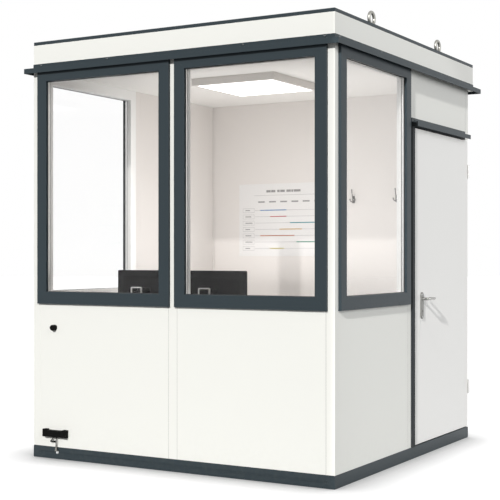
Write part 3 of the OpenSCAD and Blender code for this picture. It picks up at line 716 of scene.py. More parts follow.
def slot_outline(half_length, radius, steps=12):
    """Long upright outline with round ends."""
    return arc_outline(((0, half_length), (0, -half_length)), radius, steps)


def round_outline(half_w, half_h, radius, steps=5):
    """Rectangle with round corners."""
    w, h = half_w - radius, half_h - radius
    return arc_outline(((w, h), (-w, h), (-w, -h), (w, -h)), radius, steps)


def add_block(bm, low, high, edge=0.0, segments=2):
    """Box between two corners, with its edges rounded."""
    verts = bmesh.ops.create_cube(bm, size=1.0)["verts"]
    for v in verts:
        v.co = Vector(low[i] + (v.co[i] + 0.5) * (high[i] - low[i]) for i in range(3))
    if edge:
        around = list({e for v in verts for e in v.link_edges})
        bmesh.ops.bevel(bm, geom=around + list(verts), offset=edge, segments=segments,
                        profile=0.5, affect="EDGES")


def add_layers(bm, layers, place=None, closed=False):
    """Skin over loops of points that have the same count; the two ends are closed."""
    place = place or Matrix.Identity(4)
    rings = [[bm.verts.new(place @ Vector(p)) for p in loop] for loop in layers]
    pairs = list(zip(rings, rings[1:]))
    if closed:
        pairs.append((rings[-1], rings[0]))
    for low, high in pairs:
        for i in range(len(low)):
            bm.faces.new((low[i - 1], low[i], high[i], high[i - 1]))
    if not closed:
        bm.faces.new(rings[0])
        bm.faces.new(list(reversed(rings[-1])))


def add_plate(bm, place, outline, steps):
    """Skin over an outline's copies: a step gives what the outline is made from, and a height."""
    add_layers(bm, [[(x, y, height) for x, y in outline(*drawn)] for *drawn, height in steps],
               place)


def add_turned(bm, profile, place, sides=32):
    """Turned shape: profile lists (radius, height) and starts and ends on the axis or flat."""
    thinnest = 1e-5
    add_plate(bm, place, lambda radius: circle(max(radius, thinnest), sides), profile)


def add_ring(bm, place, ring_radius, bar_radius, turns=48, sides=20):
    """Closed round ring about the place's Z axis."""
    layers = [[((ring_radius + out) * along, (ring_radius + out) * across, up)
               for out, up in circle(bar_radius, sides)] for along, across in circle(1.0, turns)]
    add_layers(bm, layers, place, closed=True)


def add_rod(bm, path, radii, sides=16, place=None):
    """Round rod along a path, with one radius or a radius at every point."""
    points = [Vector(p) for p in path]
    if isinstance(radii, float):
        radii = [radii] * len(points)
    before = (points[1] - points[0]).normalized()
    side = before.orthogonal().normalized()
    layers = []
    for i, point in enumerate(points):
        after = (points[i + 1] - point).normalized() if i + 1 < len(points) else before
        along = (before + after).normalized()
        side = (side - along * side.dot(along)).normalized()
        up = along.cross(side)
        layers.append([point + side * x + up * y for x, y in circle(radii[i], sides)])
        before = after
    add_layers(bm, layers, place)


# ---- Walls ----

def wall_place(wall):
    """Puts a wall's own plan in place: u along it from its left end seen from outside,
    n inwards from its outer face, z up."""
    origin, along, inward = {
        "front": ((-HALF_W, -HALF_D), (1, 0), (0, 1)),
        "right": ((HALF_W, -HALF_D), (0, 1), (-1, 0)),
        "left": ((-HALF_W, HALF_D), (0, -1), (1, 0)),
        "rear": ((HALF_W, HALF_D), (-1, 0), (0, -1)),
    }[wall]
    return Matrix(((along[0], inward[0], 0, origin[0]), (along[1], inward[1], 0, origin[1]),
                   (0, 0, 1, 0), (0, 0, 0, 1)))


def facing_front(x, y, z):
    """Plan of an upright face that looks to the front: across, up and out."""
    return Matrix(((1, 0, 0, x), (0, 0, -1, y), (0, 1, 0, z), (0, 0, 0, 1)))


def wall_bar(wall, low, high):
    """A bar given in a wall's plan, as its lowest and highest corner in the cabin's frame."""
    a, b = wall_place(wall) @ Vector(low), wall_place(wall) @ Vector(high)
    return Vector(map(min, a, b)), Vector(map(max, a, b))


def windows():
    """Wall, outer rectangle and glass opening of each window, in the wall's own plan."""
    low, high = low_high("right_window_frame")
    front_low, front_high = low_high("front_window_frames")
    width = high.y - low.y
    for wall, u in (("front", front_low.x + HALF_W), ("front", front_high.x + HALF_W - width),
                    ("right", low.y + HALF_D),
                    ("left", HALF_D - low_high("left_window_frame")[1].y)):
        opening = (u + SIDE_BAR, low.z + LOWER_BAR, u + width - SIDE_BAR, high.z - UPPER_BAR)
        yield wall, (u, low.z, u + width, high.z), opening


def add_mitred_frame(bm, place, outer, opening, section, gap=0.0):
    """Four bars round a rectangle, mitred at its corners. Each point of the section is
    measured from the outer rectangle inwards or from the opening outwards, and has a depth."""
    sized = []
    for side, offset, depth in section:
        u0, z0, u1, z1 = outer if side == "outer" else opening
        out = -offset if side == "outer" else offset
        sized.append(((u0 - out, z0 - out, u1 + out, z1 + out), depth))
    for k in range(4):
        starts, ends = [], []
        for (u0, z0, u1, z1), depth in sized:
            corners = (Vector((u0, z0)), Vector((u1, z0)), Vector((u1, z1)), Vector((u0, z1)))
            first, last = corners[k], corners[(k + 1) % 4]
            along = (last - first).normalized() * gap
            for store, spot in ((starts, first + along), (ends, last - along)):
                store.append(place @ Vector((spot.x, depth, spot.y)))
        add_layers(bm, (starts, ends))


# ---- Fasteners, bars and beads ----

def head_prototype(kind):
    """Screw or bolt head of unit radius: a socket button head or a hexagon head."""
    bm = bmesh.new()
    if kind == "hexagon":
        add_turned(bm, [(1.25, 0.0), (1.25, 0.14), (1.02, 0.14)], None, 24)
        add_turned(bm, [(1.0, 0.12), (1.0, 0.78), (0.86, 0.92)], None, 6)
    else:
        # Corners of the round head and, where every second one is drawn in, of its socket
        sides, drawn_in = 12, 0.8
        layers = [[(x, y, height) for x, y in circle(radius, sides)]
                  for radius, height in ((1.0, 0.0), (0.96, 0.2), (0.78, 0.42), (0.5, 0.54))]
        for radius, height in ((0.42, 0.5), (0.36, 0.2)):
            star = [radius * drawn_in, radius] * (sides // 2)
            layers.append([(reach * x, reach * y, height)
                           for reach, (x, y) in zip(star, circle(1.0, sides))])
        add_layers(bm, layers)
    bmesh.ops.recalc_face_normals(bm, faces=bm.faces)
    return add_object("head", plain_mesh("head", bm))


def add_fasteners(name, places, finish, radius, kind="button", body="cabin"):
    """Heads at (point, facing) places."""
    head = head_prototype(kind)
    points, facings = zip(*places)
    grow(name, "fasteners", points, finish, {"Head": head, "Head Radius": radius},
         ("facing", facings), body=body)
    mesh = head.data
    bpy.data.objects.remove(head)
    bpy.data.meshes.remove(mesh)


def add_bars(name, bars, finish, body="cabin", soften=0.0):
    """Straight bars from (lowest corner, highest corner) pairs."""
    pairs = [(Vector(low), Vector(high)) for low, high in bars]
    grow(name, "bars", [(low + high) / 2 for low, high in pairs], finish, None,
         ("size", [high - low for low, high in pairs]), body=body, soften=soften)


def add_beads(name, runs, radius, finish):
    """Round beads along straight runs between two points."""
    grow(name, "bead", [point for run in runs for point in run], finish,
         {"Bead Radius": radius, "Sides": 8}, edges=[(2 * i, 2 * i + 1) for i in range(len(runs))])


# ---- Operators ----

class CABIN_OT_finishes(bpy.types.Operator):
    """Gives every solid node its finish and softens its edges"""
    bl_idname = "cabin.finishes"
    bl_label = "Finishes"

    def execute(self, context):
        build_materials()
        for finish, names in SOLID_FINISHES.items():
            for name in names:
                NODES[name].data.materials.clear()
                NODES[name].data.materials.append(MATERIALS[finish])
        for rounding, names in SOFT_EDGES.items():
            for name in names:
                weld = NODES[name].modifiers.new("Weld", "WELD")
                weld.merge_threshold = 0.00001
                soft = NODES[name].modifiers.new("Soft Edges", "BEVEL")
                soft.width = rounding
                soft.segments = 2
                soft.limit_method = "ANGLE"
                soft.angle_limit = math.radians(50)
                soft.use_clamp_overlap = True
        return {"FINISHED"}


class CABIN_OT_windows(bpy.types.Operator):
    """Window frames, gaskets, spacer bars and room-side beads"""
    bl_idname = "cabin.windows"
    bl_label = "Windows"

    def execute(self, context):
        gap = details().mitre_gap
        frames, outer_lips, inner_lips, spacers, beads = (bmesh.new() for _ in range(5))
        for wall, outer, opening in windows():
            spot = (wall_place(wall), outer, opening)
            add_mitred_frame(frames, *spot, self.frame_section(), gap)
            add_mitred_frame(outer_lips, *spot, self.outer_lip_section())
            add_mitred_frame(spacers, *spot, self.spacer_section())
            add_mitred_frame(inner_lips, *spot, self.inner_lip_section())
            add_mitred_frame(beads, *spot, self.bead_section(), gap)
        new_piece("window_frames", frames, "frame_coat",
                  stands_for=("front_window_frames", "right_window_frame", "left_window_frame"))
        new_piece("window_outer_gaskets", outer_lips, "glazing_rubber")
        new_piece("window_inner_gaskets", inner_lips, "bead_seal")
        new_piece("window_spacers", spacers, "spacer_metal")
        new_piece("window_beads", beads, "bead_coat", stands_for=("window_inner_frames",))
        self.drain_caps()
        return {"FINISHED"}

    def frame_section(self):
        """Dark outer frame with eased edges and a rebate for the glazing."""
        front, rebate = -FRAME_PROUD, 0.0135
        return (
            ("outer", 0.0, -HAIR), ("outer", 0.0, front + 0.0025),
            ("outer", 0.0007, front + 0.0007), ("outer", 0.0025, front),
            ("opening", 0.0025, front), ("opening", 0.0007, front + 0.0007),
            ("opening", 0.0, front + 0.0025), ("opening", 0.0, PANE_FRONT - 0.0026),
            ("opening", rebate, PANE_FRONT - HAIR), ("opening", rebate, UNIT_BACK - HAIR),
            ("outer", FRAME_LAP, UNIT_BACK - HAIR), ("outer", FRAME_LAP, -HAIR))

    def outer_lip_section(self):
        lip = details().gasket
        return (
            ("opening", 0.002, PANE_FRONT - 0.0052), ("opening", -lip * 0.5, PANE_FRONT - 0.0044),
            ("opening", -lip, PANE_FRONT - 0.0012), ("opening", -lip, PANE_FRONT),
            ("opening", 0.002, PANE_FRONT))

    def inner_lip_section(self):
        lip = details().gasket * 0.75
        return (
            ("opening", 0.002, UNIT_BACK), ("opening", -lip, UNIT_BACK),
            ("opening", -lip, UNIT_BACK + 0.0015),
            ("opening", -details().gasket * 0.4, UNIT_BACK + 0.0038),
            ("opening", 0.002, UNIT_BACK + 0.0042))

    def spacer_section(self):
        """Metal spacer between the panes, with a fine ridge along its middle."""
        middle = (SPACER_FRONT + SPACER_BACK) / 2
        return (
            ("opening", -0.0004, SPACER_FRONT), ("opening", 0.010, SPACER_FRONT),
            ("opening", 0.010, SPACER_BACK), ("opening", -0.0004, SPACER_BACK),
            ("opening", -HAIR, middle + 0.001), ("opening", 0.0006, middle),
            ("opening", -HAIR, middle - 0.001))

    def bead_section(self):
        """White inner frame, with the fine groove where the bead clips in."""
        back = POST_W - HAIR
        return (
            ("opening", 0.0, UNIT_BACK + 0.003), ("opening", 0.0, back - 0.003),
            ("opening", 0.0009, back - 0.0009), ("opening", 0.003, back),
            ("opening", 0.020, back), ("opening", 0.0205, back - 0.0006),
            ("opening", 0.0215, back - 0.0006), ("opening", 0.022, back),
            ("outer", FRAME_LAP + 0.0022, back), ("outer", FRAME_LAP + 0.0004, back - 0.0018),
            ("outer", FRAME_LAP, UNIT_BACK + HAIR), ("opening", 0.014, UNIT_BACK + HAIR))

    def drain_caps(self):
        """Two small caps over the drain slots at the foot of each frame."""
        half, lift, tall, proud, sunk = 0.014, 0.004, 0.008, 0.0016, 0.001
        caps = []
        for wall, (u0, z0, u1, _), _ in windows():
            for part in (0.18, 0.82):
                u, z = u0 + (u1 - u0) * part, z0 + lift
                caps.append(wall_bar(wall, (u - half, -FRAME_PROUD - proud, z),
                                     (u + half, sunk - FRAME_PROUD, z + tall)))
        add_bars("window_drain_caps", caps, "frame_coat", soften=0.0006)


class CABIN_OT_joint_seals(bpy.types.Operator):
    """Fine grey seals in the joints between posts, panels and base, whose grey is also the painted shade
    line of each joint
    """
    bl_idname = "cabin.joint_seals"
    bl_label = "Joint Seals"

    def execute(self, context):
        radius = details().seal_width / 2
        sink = radius * 0.62
        foot, head = BASE_TOP + 0.001, ROOF_Z - 0.001
        sill = low_high("right_window_frame")[0].z
        header = low_high("door_header_panel")[0].z
        post_low, post_high = low_high("door_post")
        middle, far = (MID_LOW.x + HALF_W, MID_HIGH.x + HALF_W), 2 * HALF_W - POST_W
        # Place along the wall, lower end and upper end of each joint
        joints = {
            "front": [(u, foot, sill) for u in (*middle, far)],
            "right": [(post_low.y + HALF_D, foot, sill), (post_high.y + HALF_D, header, head),
                      (2 * HALF_D - POST_W, header, head)],
            "left": [(POST_W, foot, head), (middle[0], foot, head), (middle[1], foot, sill),
                     (2 * HALF_D - POST_W, foot, sill)],
            "rear": [(u, foot, head) for u in (POST_W, *middle, far)],
        }
        runs = [[wall_place(wall) @ Vector((u, sink, z)) for z in (low, high)]
                for wall, places in joints.items() for u, low, high in places]
        # Grey beads: partly the seal itself and partly painted shade, standing for the dark shade line of
        # each joint
        add_beads("joint_seals", runs, radius, "joint_seal")
        corner_x, corner_y = HALF_W - POST_W, HALF_D - POST_W
        room = [[(x * corner_x, y * corner_y, z) for z in (BASE_TOP + 0.002, head)]
                for x in (-1, 1) for y in (-1, 1)]
        add_beads("room_corner_seals", room, 0.004, "lamp_coat")
        return {"FINISHED"}


class CABIN_OT_roof(bpy.types.Operator):
    """Standing seams of the roof and the screws of the rails round it"""
    bl_idname = "cabin.roof"
    bl_label = "Roof"

    def execute(self, context):
        low, high = low_high("roof_skin")
        pitch = details().seam_pitch
        half, tall, inset, margin = 0.005, 0.013, 0.004, 0.02
        count = int((high.x - low.x - 2 * margin) / pitch)
        seams = []
        for i in range(count + 1):
            x = (low.x + high.x) / 2 + (i - count / 2) * pitch
            seams.append(((x - half, low.y + inset, high.z - 0.001),
                          (x + half, high.y - inset, high.z + tall)))
        add_bars("roof_seams", seams, "roof_coat", soften=0.0015)
        inset, reach = 0.002, 0.05
        laps = [((low.x + inset, y0, high.z), (high.x - inset, y1, high.z + 0.002))
                for y0, y1 in ((low.y + inset, low.y + reach), (high.y - reach, high.y - inset))]
        add_bars("roof_laps", laps, "roof_coat", soften=0.0006)
        self.rail_screws()
        self.cap_screws()
        return {"FINISHED"}

    def rail_screws(self):
        """Screws on the rail's flange, all round: four a side, the outer two near the corners."""
        z = low_high("drip_rail")[1].z - 0.010
        low, high = low_high("roof_frame")
        inset, pitch = 0.058, details().screw_pitch
        middle, half = (low.y + high.y) / 2, (high.y - low.y) / 2
        places = []
        for part in (-1, -pitch / HALF_W, pitch / HALF_W, 1):
            x = part * (HALF_W - (inset if abs(part) == 1 else 0.014))
            places += [((x, low.y - SHEET_FACE, z), (0, -1, 0)),
                       ((x, high.y + SHEET_FACE, z), (0, 1, 0))]
        for part in (-1, -pitch / half, pitch / half, 1):
            y = middle + part * (half - (inset if abs(part) == 1 else 0.0))
            places += [((low.x - SHEET_FACE, y, z), (-1, 0, 0)),
                       ((high.x + SHEET_FACE, y, z), (1, 0, 0))]
        add_fasteners("rail_screws", places, "coated_screw", details().screw_radius)

    def cap_screws(self):
        """Screws on the roof's dark cap, away from the lifting eyes."""
        low, high = low_high("roof_trim")
        inset = 0.066
        spots = [(part * high.x, y) for part in (-0.93, -0.47, 0.0, 0.47, 0.93)
                 for y in (low.y + inset, high.y - inset)]
        spots += [(x, part * HALF_D) for part in (-0.62, -0.1, 0.1, 0.72)
                  for x in (low.x + inset, high.x - inset)]
        add_fasteners("cap_screws", [((x, y, high.z), (0, 0, 1)) for x, y in spots],
                      "frame_coat", details().screw_radius)


class CABIN_OT_lifting_eyes(bpy.types.Operator):
    """Forged lifting eyes with their collars"""
    bl_idname = "cabin.lifting_eyes"
    bl_label = "Lifting Eyes"

    def execute(self, context):
        low, high = low_high("lifting_eyes")
        base = low_high("roof_trim")[1].z + HAIR
        upright = Matrix.Rotation(math.pi / 2, 4, "Y")
        bm = bmesh.new()
        for x in (low.x + 0.025, high.x - 0.025):
            for y in (low.y + 0.045, high.y - 0.045):
                add_ring(bm, Matrix.Translation((x, y, high.z - 0.045)) @ upright, 0.035, 0.0098)
                add_turned(bm, [(0.0, -0.02), (0.012, -0.02), (0.012, 0.0), (0.0246, 0.0),
                                (0.025, 0.001), (0.025, 0.008), (0.0242, 0.0105), (0.0215, 0.012),
                                (0.0175, 0.0135), (0.0135, 0.017), (0.0105, 0.0175),
                                (0.0, 0.0175)], Matrix.Translation((x, y, base)), 40)
        new_piece("lifting_eyes_forged", bm, "galvanised", stands_for=("lifting_eyes",),
                  round_angle=50.0)
        return {"FINISHED"}


class CABIN_OT_door_trim(bpy.types.Operator):
    """Seal of the leaf, hood screws and threshold ribs"""
    bl_idname = "cabin.door_trim"
    bl_label = "Door Trim"

    def execute(self, context):
        # Distance of the leaf's hinge edge from the corner post
        edge_gap = 0.0485
        wide, thick, inset, sunk = 0.012, 0.005, 0.002, 0.0004
        x0, x1 = DOOR_LOW.x - thick, DOOR_LOW.x + sunk
        front, rear = DOOR_LOW.y + inset, HALF_D - POST_W - edge_gap - inset
        bottom, top = DOOR_LOW.z + inset, DOOR_HIGH.z - inset
        add_bars("door_seal", [((x0, y0, z0), (x1, y1, z1)) for y0, z0, y1, z1 in (
            (front, bottom, front + wide, top), (rear - wide, bottom, rear, top),
            (front + wide, top - wide, rear - wide, top),
            (front + wide, bottom, rear - wide, bottom + wide))],
            "rubber", body="door", soften=0.0012)
        low, high = low_high("door_hood")
        x, z = HALF_W + SHEET_FACE, high.z - 0.010
        screws = [((x, low.y + (high.y - low.y) * part, z), (1, 0, 0))
                  for part in (0.05, 0.35, 0.65, 0.95)]
        add_fasteners("hood_screws", screws, "coated_screw", details().screw_radius * 0.8)
        low, high = low_high("door_threshold")
        count, half, inset = 4, 0.0009, 0.004
        ribs = []
        for x in (low.x + (high.x - low.x) * (i + 0.5) / count for i in range(count)):
            ribs.append(((x - half, low.y + inset, high.z - sunk),
                         (x + half, high.y - inset, high.z + 0.0010)))
        add_bars("threshold_ribs", ribs, "threshold_metal")
        return {"FINISHED"}


class CABIN_OT_hinges(bpy.types.Operator):
    """End caps and strap screws of the hinges"""
    bl_idname = "cabin.hinges"
    bl_label = "Hinges"

    def execute(self, context):
        low, high = low_high("hinge_brackets")
        radius, height = 0.007, 0.092
        lower, upper = low.z, low_high("hinge_knuckles")[1].z - height
        caps, crowns = bmesh.new(), bmesh.new()
        screws = []
        for z in (lower, upper):
            foot = Matrix.Translation((high.x - radius, low.y + radius, z))
            add_turned(caps, [(0.0, -0.0012), (0.0052, -0.0012), (0.0064, 0.0), (0.0064, 0.0006),
                              (0.0, 0.0006)], foot, 28)
            add_turned(crowns, [(0.0, -0.0006), (0.0064, -0.0006), (0.0064, 0.0),
                                (0.0052, 0.0012), (0.0, 0.0016)],
                       Matrix.Translation((0, 0, height)) @ foot, 28)
            screws += [((HALF_W - x, high.y, z + rise), (0, 1, 0))
                       for rise in (0.010, 0.029) for x in (0.016, 0.036)]
        new_piece("hinge_lower_caps", caps, "screw_metal")
        new_piece("hinge_upper_caps", crowns, "screw_metal", body="door")
        add_fasteners("hinge_screws", screws, "screw_metal", 0.0036)
        return {"FINISHED"}


class CABIN_OT_handles(bpy.types.Operator):
    """Handle plates, levers and lock cylinder on both sides of the leaf"""
    bl_idname = "cabin.handles"
    bl_label = "Door Handles"

    def execute(self, context):
        low, high = low_high("handle_plates")
        y, half_w, half_h = (low.y + high.y) / 2, (high.y - low.y) / 2, (high.z - low.z) / 2
        plate_z, lever_z, lock_z = (sum(corner.z for corner in low_high(node)) / 2
                                    for node in ("handle_plates", "lever_handle", "lock_cylinder"))
        thick = high.x - HALF_W - HAIR
        plates, levers, locks, slots = (bmesh.new() for _ in range(4))
        screws = []
        for out, face in ((1, HALF_W + HAIR), (-1, DOOR_LOW.x - HAIR)):
            plate, lever, lock = (
                # Plan of the plate's face at a height: across, up and out
                Matrix(((0, 0, out, face), (1, 0, 0, y), (0, 1, 0, z), (0, 0, 0, 1)))
                for z in (plate_z, lever_z, lock_z))
            # Long plate with round ends, an eased edge and a fine groove inside it
            add_plate(plates, plate,
                      lambda inset: slot_outline(half_h - half_w, half_w - inset),
                      ((0.0, 0.0), (0.0, thick - 0.003), (0.0008, thick - 0.0012),
                       (0.0026, thick - 0.0002), (0.0042, thick), (0.0050, thick - 0.0004),
                       (0.0060, thick - 0.0004), (0.0064, thick)))
            self.add_lever(levers, lever, thick)
            # Turned rose round the lever's neck
            add_turned(plates, [(0.0, -0.002), (0.0130, -0.002), (0.0130, 0.0012),
                                (0.0118, 0.0028), (0.0098, 0.0032), (0.0, 0.0032)],
                       lever @ Matrix.Translation((0, 0, thick)))
            self.add_lock(locks, slots, lock, thick + 0.001)
            screw_rise = half_h - 0.013
            screws += [((face + out * thick, y, z), (out, 0, 0))
                       for z in (plate_z + screw_rise, plate_z - screw_rise)]
        new_piece("handle_plates_finished", plates, "plate_metal", body="door",
                  stands_for=("handle_plates",))
        new_piece("lever_handle_finished", levers, "handle_metal", body="lever",
                  stands_for=("lever_handle",), round_angle=60.0)
        new_piece("lock_cylinder_finished", locks, "plate_metal", body="door",
                  stands_for=("lock_cylinder",))
        # Keyholes in black rubber: painted shade of the key slots
        new_piece("keyholes", slots, "rubber", body="door")
        add_fasteners("plate_screws", screws, "screw_metal", 0.0032, body="door")
        return {"FINISHED"}

    def add_lever(self, bm, place, thick):
        """Neck, bend, tapering grip, and an end that turns back towards the leaf."""
        reach, length, bend, gap = 0.052, 0.097, 0.016, 0.008
        turn = length - bend
        path = [(0, 0, thick - 0.004), (0, 0, thick + 0.012),
                *arc((bend, 0, reach - bend), (-bend, 0, 0), (0, 0, bend), 8),
                ((bend + length) / 2, 0, reach),
                *arc((turn, 0, reach - bend), (0, 0, bend), (bend, 0, 0), 8),
                *((length, 0, gap + rise) for rise in (0.006, 0.002, 0.0005, 0.0))]
        neck, tip = [0.0086, 0.0086], [0.0076, 0.0072, 0.0052, 0.0012]
        grip = [0.0083] * (len(path) - len(neck) - len(tip))
        add_rod(bm, path, neck + grip + tip, 24, place)

    def add_lock(self, bm, slots, place, front):
        """Profile cylinder: a round plug over a narrower foot, and its key slot drawn as a black plate of
        painted shade.
        """
        back, eased = 0.001, front - 0.0006
        add_turned(bm, [(0.0, back), (0.0085, back), (0.0085, eased), (0.0079, front),
                        (0.0062, front), (0.0060, front - 0.0003), (0.0058, front), (0.0, front)],
                   place)
        add_plate(bm, place @ Matrix.Translation((0, -0.0115, 0)),
                  lambda inset: slot_outline(0.0075, 0.0048 - inset, 8),
                  ((0.0, back), (0.0, eased), (0.0006, front)))
        # The key slot is painted shade: a black plate just proud of the plug stands for the dark depth of
        # the keyway
        add_plate(slots, place, lambda: round_outline(0.0030, 0.0058, 0.0014, 3),
                  ((front - 0.001,), (front + 0.0003,)))


class CABIN_OT_gland(bpy.types.Operator):
    """Cable gland of the front wall"""
    bl_idname = "cabin.gland"
    bl_label = "Cable Gland"

    def execute(self, context):
        low, high = low_high("cable_gland")
        place = facing_front((low.x + high.x) / 2, high.y, (low.z + high.z) / 2)
        reach, radius = high.y - low.y, (high.x - low.x) / 2
        bm = bmesh.new()
        add_turned(bm, [(0.0, 0.0), (radius, 0.0), (radius, 0.0025), (radius - 0.0008, 0.0034),
                        (radius - 0.0012, 0.0036), (radius - 0.0012, reach - 0.0072),
                        (radius - 0.0020, reach - 0.0056), (radius - 0.0040, reach - 0.0050),
                        (radius - 0.0042, reach - 0.0010), (radius - 0.0052, reach),
                        (radius * 0.52, reach), (radius * 0.48, reach - 0.0028),
                        (0.0, reach - 0.0034)], place, 48)
        new_piece("cable_gland_cap", bm, "black_plastic", stands_for=("cable_gland",))
        # Ribs of the cap nut: square bars along its length
        count, square, start = 18, 0.0016, 0.0036
        long = reach - 0.011
        points = [place @ Vector((x, y, start + long / 2))
                  for x, y in circle(radius - 0.0011, count)]
        grow("cable_gland_ribs", "bars", points, "black_plastic", None,
             ("size", [(square, long, square)] * count), soften=0.0003)
        return {"FINISHED"}


class CABIN_OT_bonding(bpy.types.Operator):
    """Bonding box with its end covers and clip, and the crimped lug of the earth lead"""
    bl_idname = "cabin.bonding"
    bl_label = "Bonding Box"

    def execute(self, context):
        low, high = low_high("bonding_box")
        lead_low, lead_high = low_high("earth_lead")
        lead_x, lead_y = ((lead_low + lead_high) / 2).xy
        bottom, top, cover = lead_high.z, high.z - 0.006, 0.030
        bm = bmesh.new()
        add_block(bm, (low.x + 0.001, low.y + 0.0012, bottom), (high.x - 0.001, high.y, top),
                  0.0024, 3)
        for x0, x1 in ((low.x, low.x + cover), (high.x - cover, high.x)):
            add_block(bm, (x0, low.y, bottom - 0.0004), (x1, high.y, high.z), 0.0028, 3)
            middle, half = (x0 + x1) / 2, 0.004
            add_block(bm, (middle - half, low.y + 0.004, high.z - 0.001),
                      (middle + half, low.y + 0.012, high.z + 0.0004), 0.0003, 1)
        ridge, half = cover + 0.006, 0.0012
        for part in (0.30, 0.70):
            z = bottom + (top - bottom) * part
            add_block(bm, (low.x + ridge, low.y + 0.0004, z - half),
                      (high.x - ridge, low.y + 0.0020, z + half), 0.0004, 1)
        new_piece("bonding_box_finished", bm, "black_plastic", stands_for=("bonding_box",))
        self.add_clip(Matrix.Translation((lead_x, lead_y, bottom)))
        self.add_lug(lead_x, lead_y)
        screws = [((x, low.y, (bottom + top) / 2), (0, -1, 0))
                  for x in (low.x + cover / 2, high.x - cover / 2)]
        add_fasteners("bonding_box_screws", screws, "black_plastic", 0.0042)
        return {"FINISHED"}

    def add_clip(self, place):
        """Bent wire clip that hangs from the box's underside, with a knob at its bend and one at its tip."""
        clip = bmesh.new()
        path = [(x, 0, z) for x, z in (
            (-0.014, 0.003), (-0.020, -0.004), (-0.036, -0.022), (-0.040, -0.0265),
            (-0.036, -0.0290), (-0.024, -0.0285), (-0.010, -0.0275))]
        add_rod(clip, path, 0.0032, 12, place)
        for x, z, r in ((-0.040, -0.0275, 0.0058), (-0.013, -0.0280, 0.0060)):
            add_turned(clip, [(0.0, -r), (r * 0.7, -r * 0.72), (r, 0.0), (r * 0.7, r * 0.72),
                              (0.0, r)], place @ Matrix.Translation((x, 0, z)), 16)
        new_piece("bonding_clip", clip, "black_plastic", round_angle=60.0)

    def add_lug(self, x, y):
        """Crimped barrel on a tongue that is bent down and bolted to the base."""
        low, high = low_high("earth_lug")
        barrel, crimps, pitch = 0.024, 4, 0.0058
        foot = high.z - barrel
        profile = [(0.0, foot)]
        for z in (foot + 0.001 + i * pitch for i in range(crimps)):
            profile += [(0.0052, z), (0.0066, z + 0.0012), (0.0066, z + 0.0036), (0.0052, z + 0.0048)]
        bm = bmesh.new()
        add_turned(bm, profile + [(0.0, high.z)], Matrix.Translation((x, y, 0)), 24)
        sheet, top, half, thick = -HALF_D - HAIR, foot + 0.003, 0.009, 0.003
        add_block(bm, (x - half, y - 0.004, top - thick), (x + half, sheet, top), 0.0006, 1)
        add_block(bm, (x - half, sheet - thick, low.z + 0.002), (x + half, sheet, top), 0.0008, 1)
        new_piece("earth_lug_crimped", bm, "galvanised", stands_for=("earth_lug",))
        add_fasteners("earth_lug_bolt", [((x, sheet - thick, top - 0.0125), (0, -1, 0))],
                      "screw_metal", 0.0066, kind="hexagon")


class CABIN_OT_base(bpy.types.Operator):
    """Plugs in the fixing holes and weld beads of the base frame"""
    bl_idname = "cabin.base"
    bl_label = "Base"

    def execute(self, context):
        plugs = bmesh.new()
        radius, inset, sunk = 0.0063, 0.049, 0.0012
        for side in (-1, 1):
            place = facing_front(side * (HALF_W - inset), sunk - HALF_D, BASE_TOP / 2)
            add_turned(plugs, [(0.0, -0.004), (radius, -0.004), (radius, -0.0006),
                               (radius - 0.0006, 0.0), (radius * 0.55, 0.0),
                               (radius * 0.5, -0.0006), (0.0, -0.0006)], place)
        new_piece("base_plugs", plugs, "frame_coat")
        corner_x, corner_y = HALF_W - 0.0004, HALF_D - 0.0004
        runs = [[(x * corner_x, y * corner_y, z) for z in (0.003, BASE_TOP - 0.002)]
                for x, y in ((-1, -1), (1, -1), (1, 1), (-1, 1))]
        add_beads("base_corner_welds", runs, 0.0016, "frame_coat")
        return {"FINISHED"}


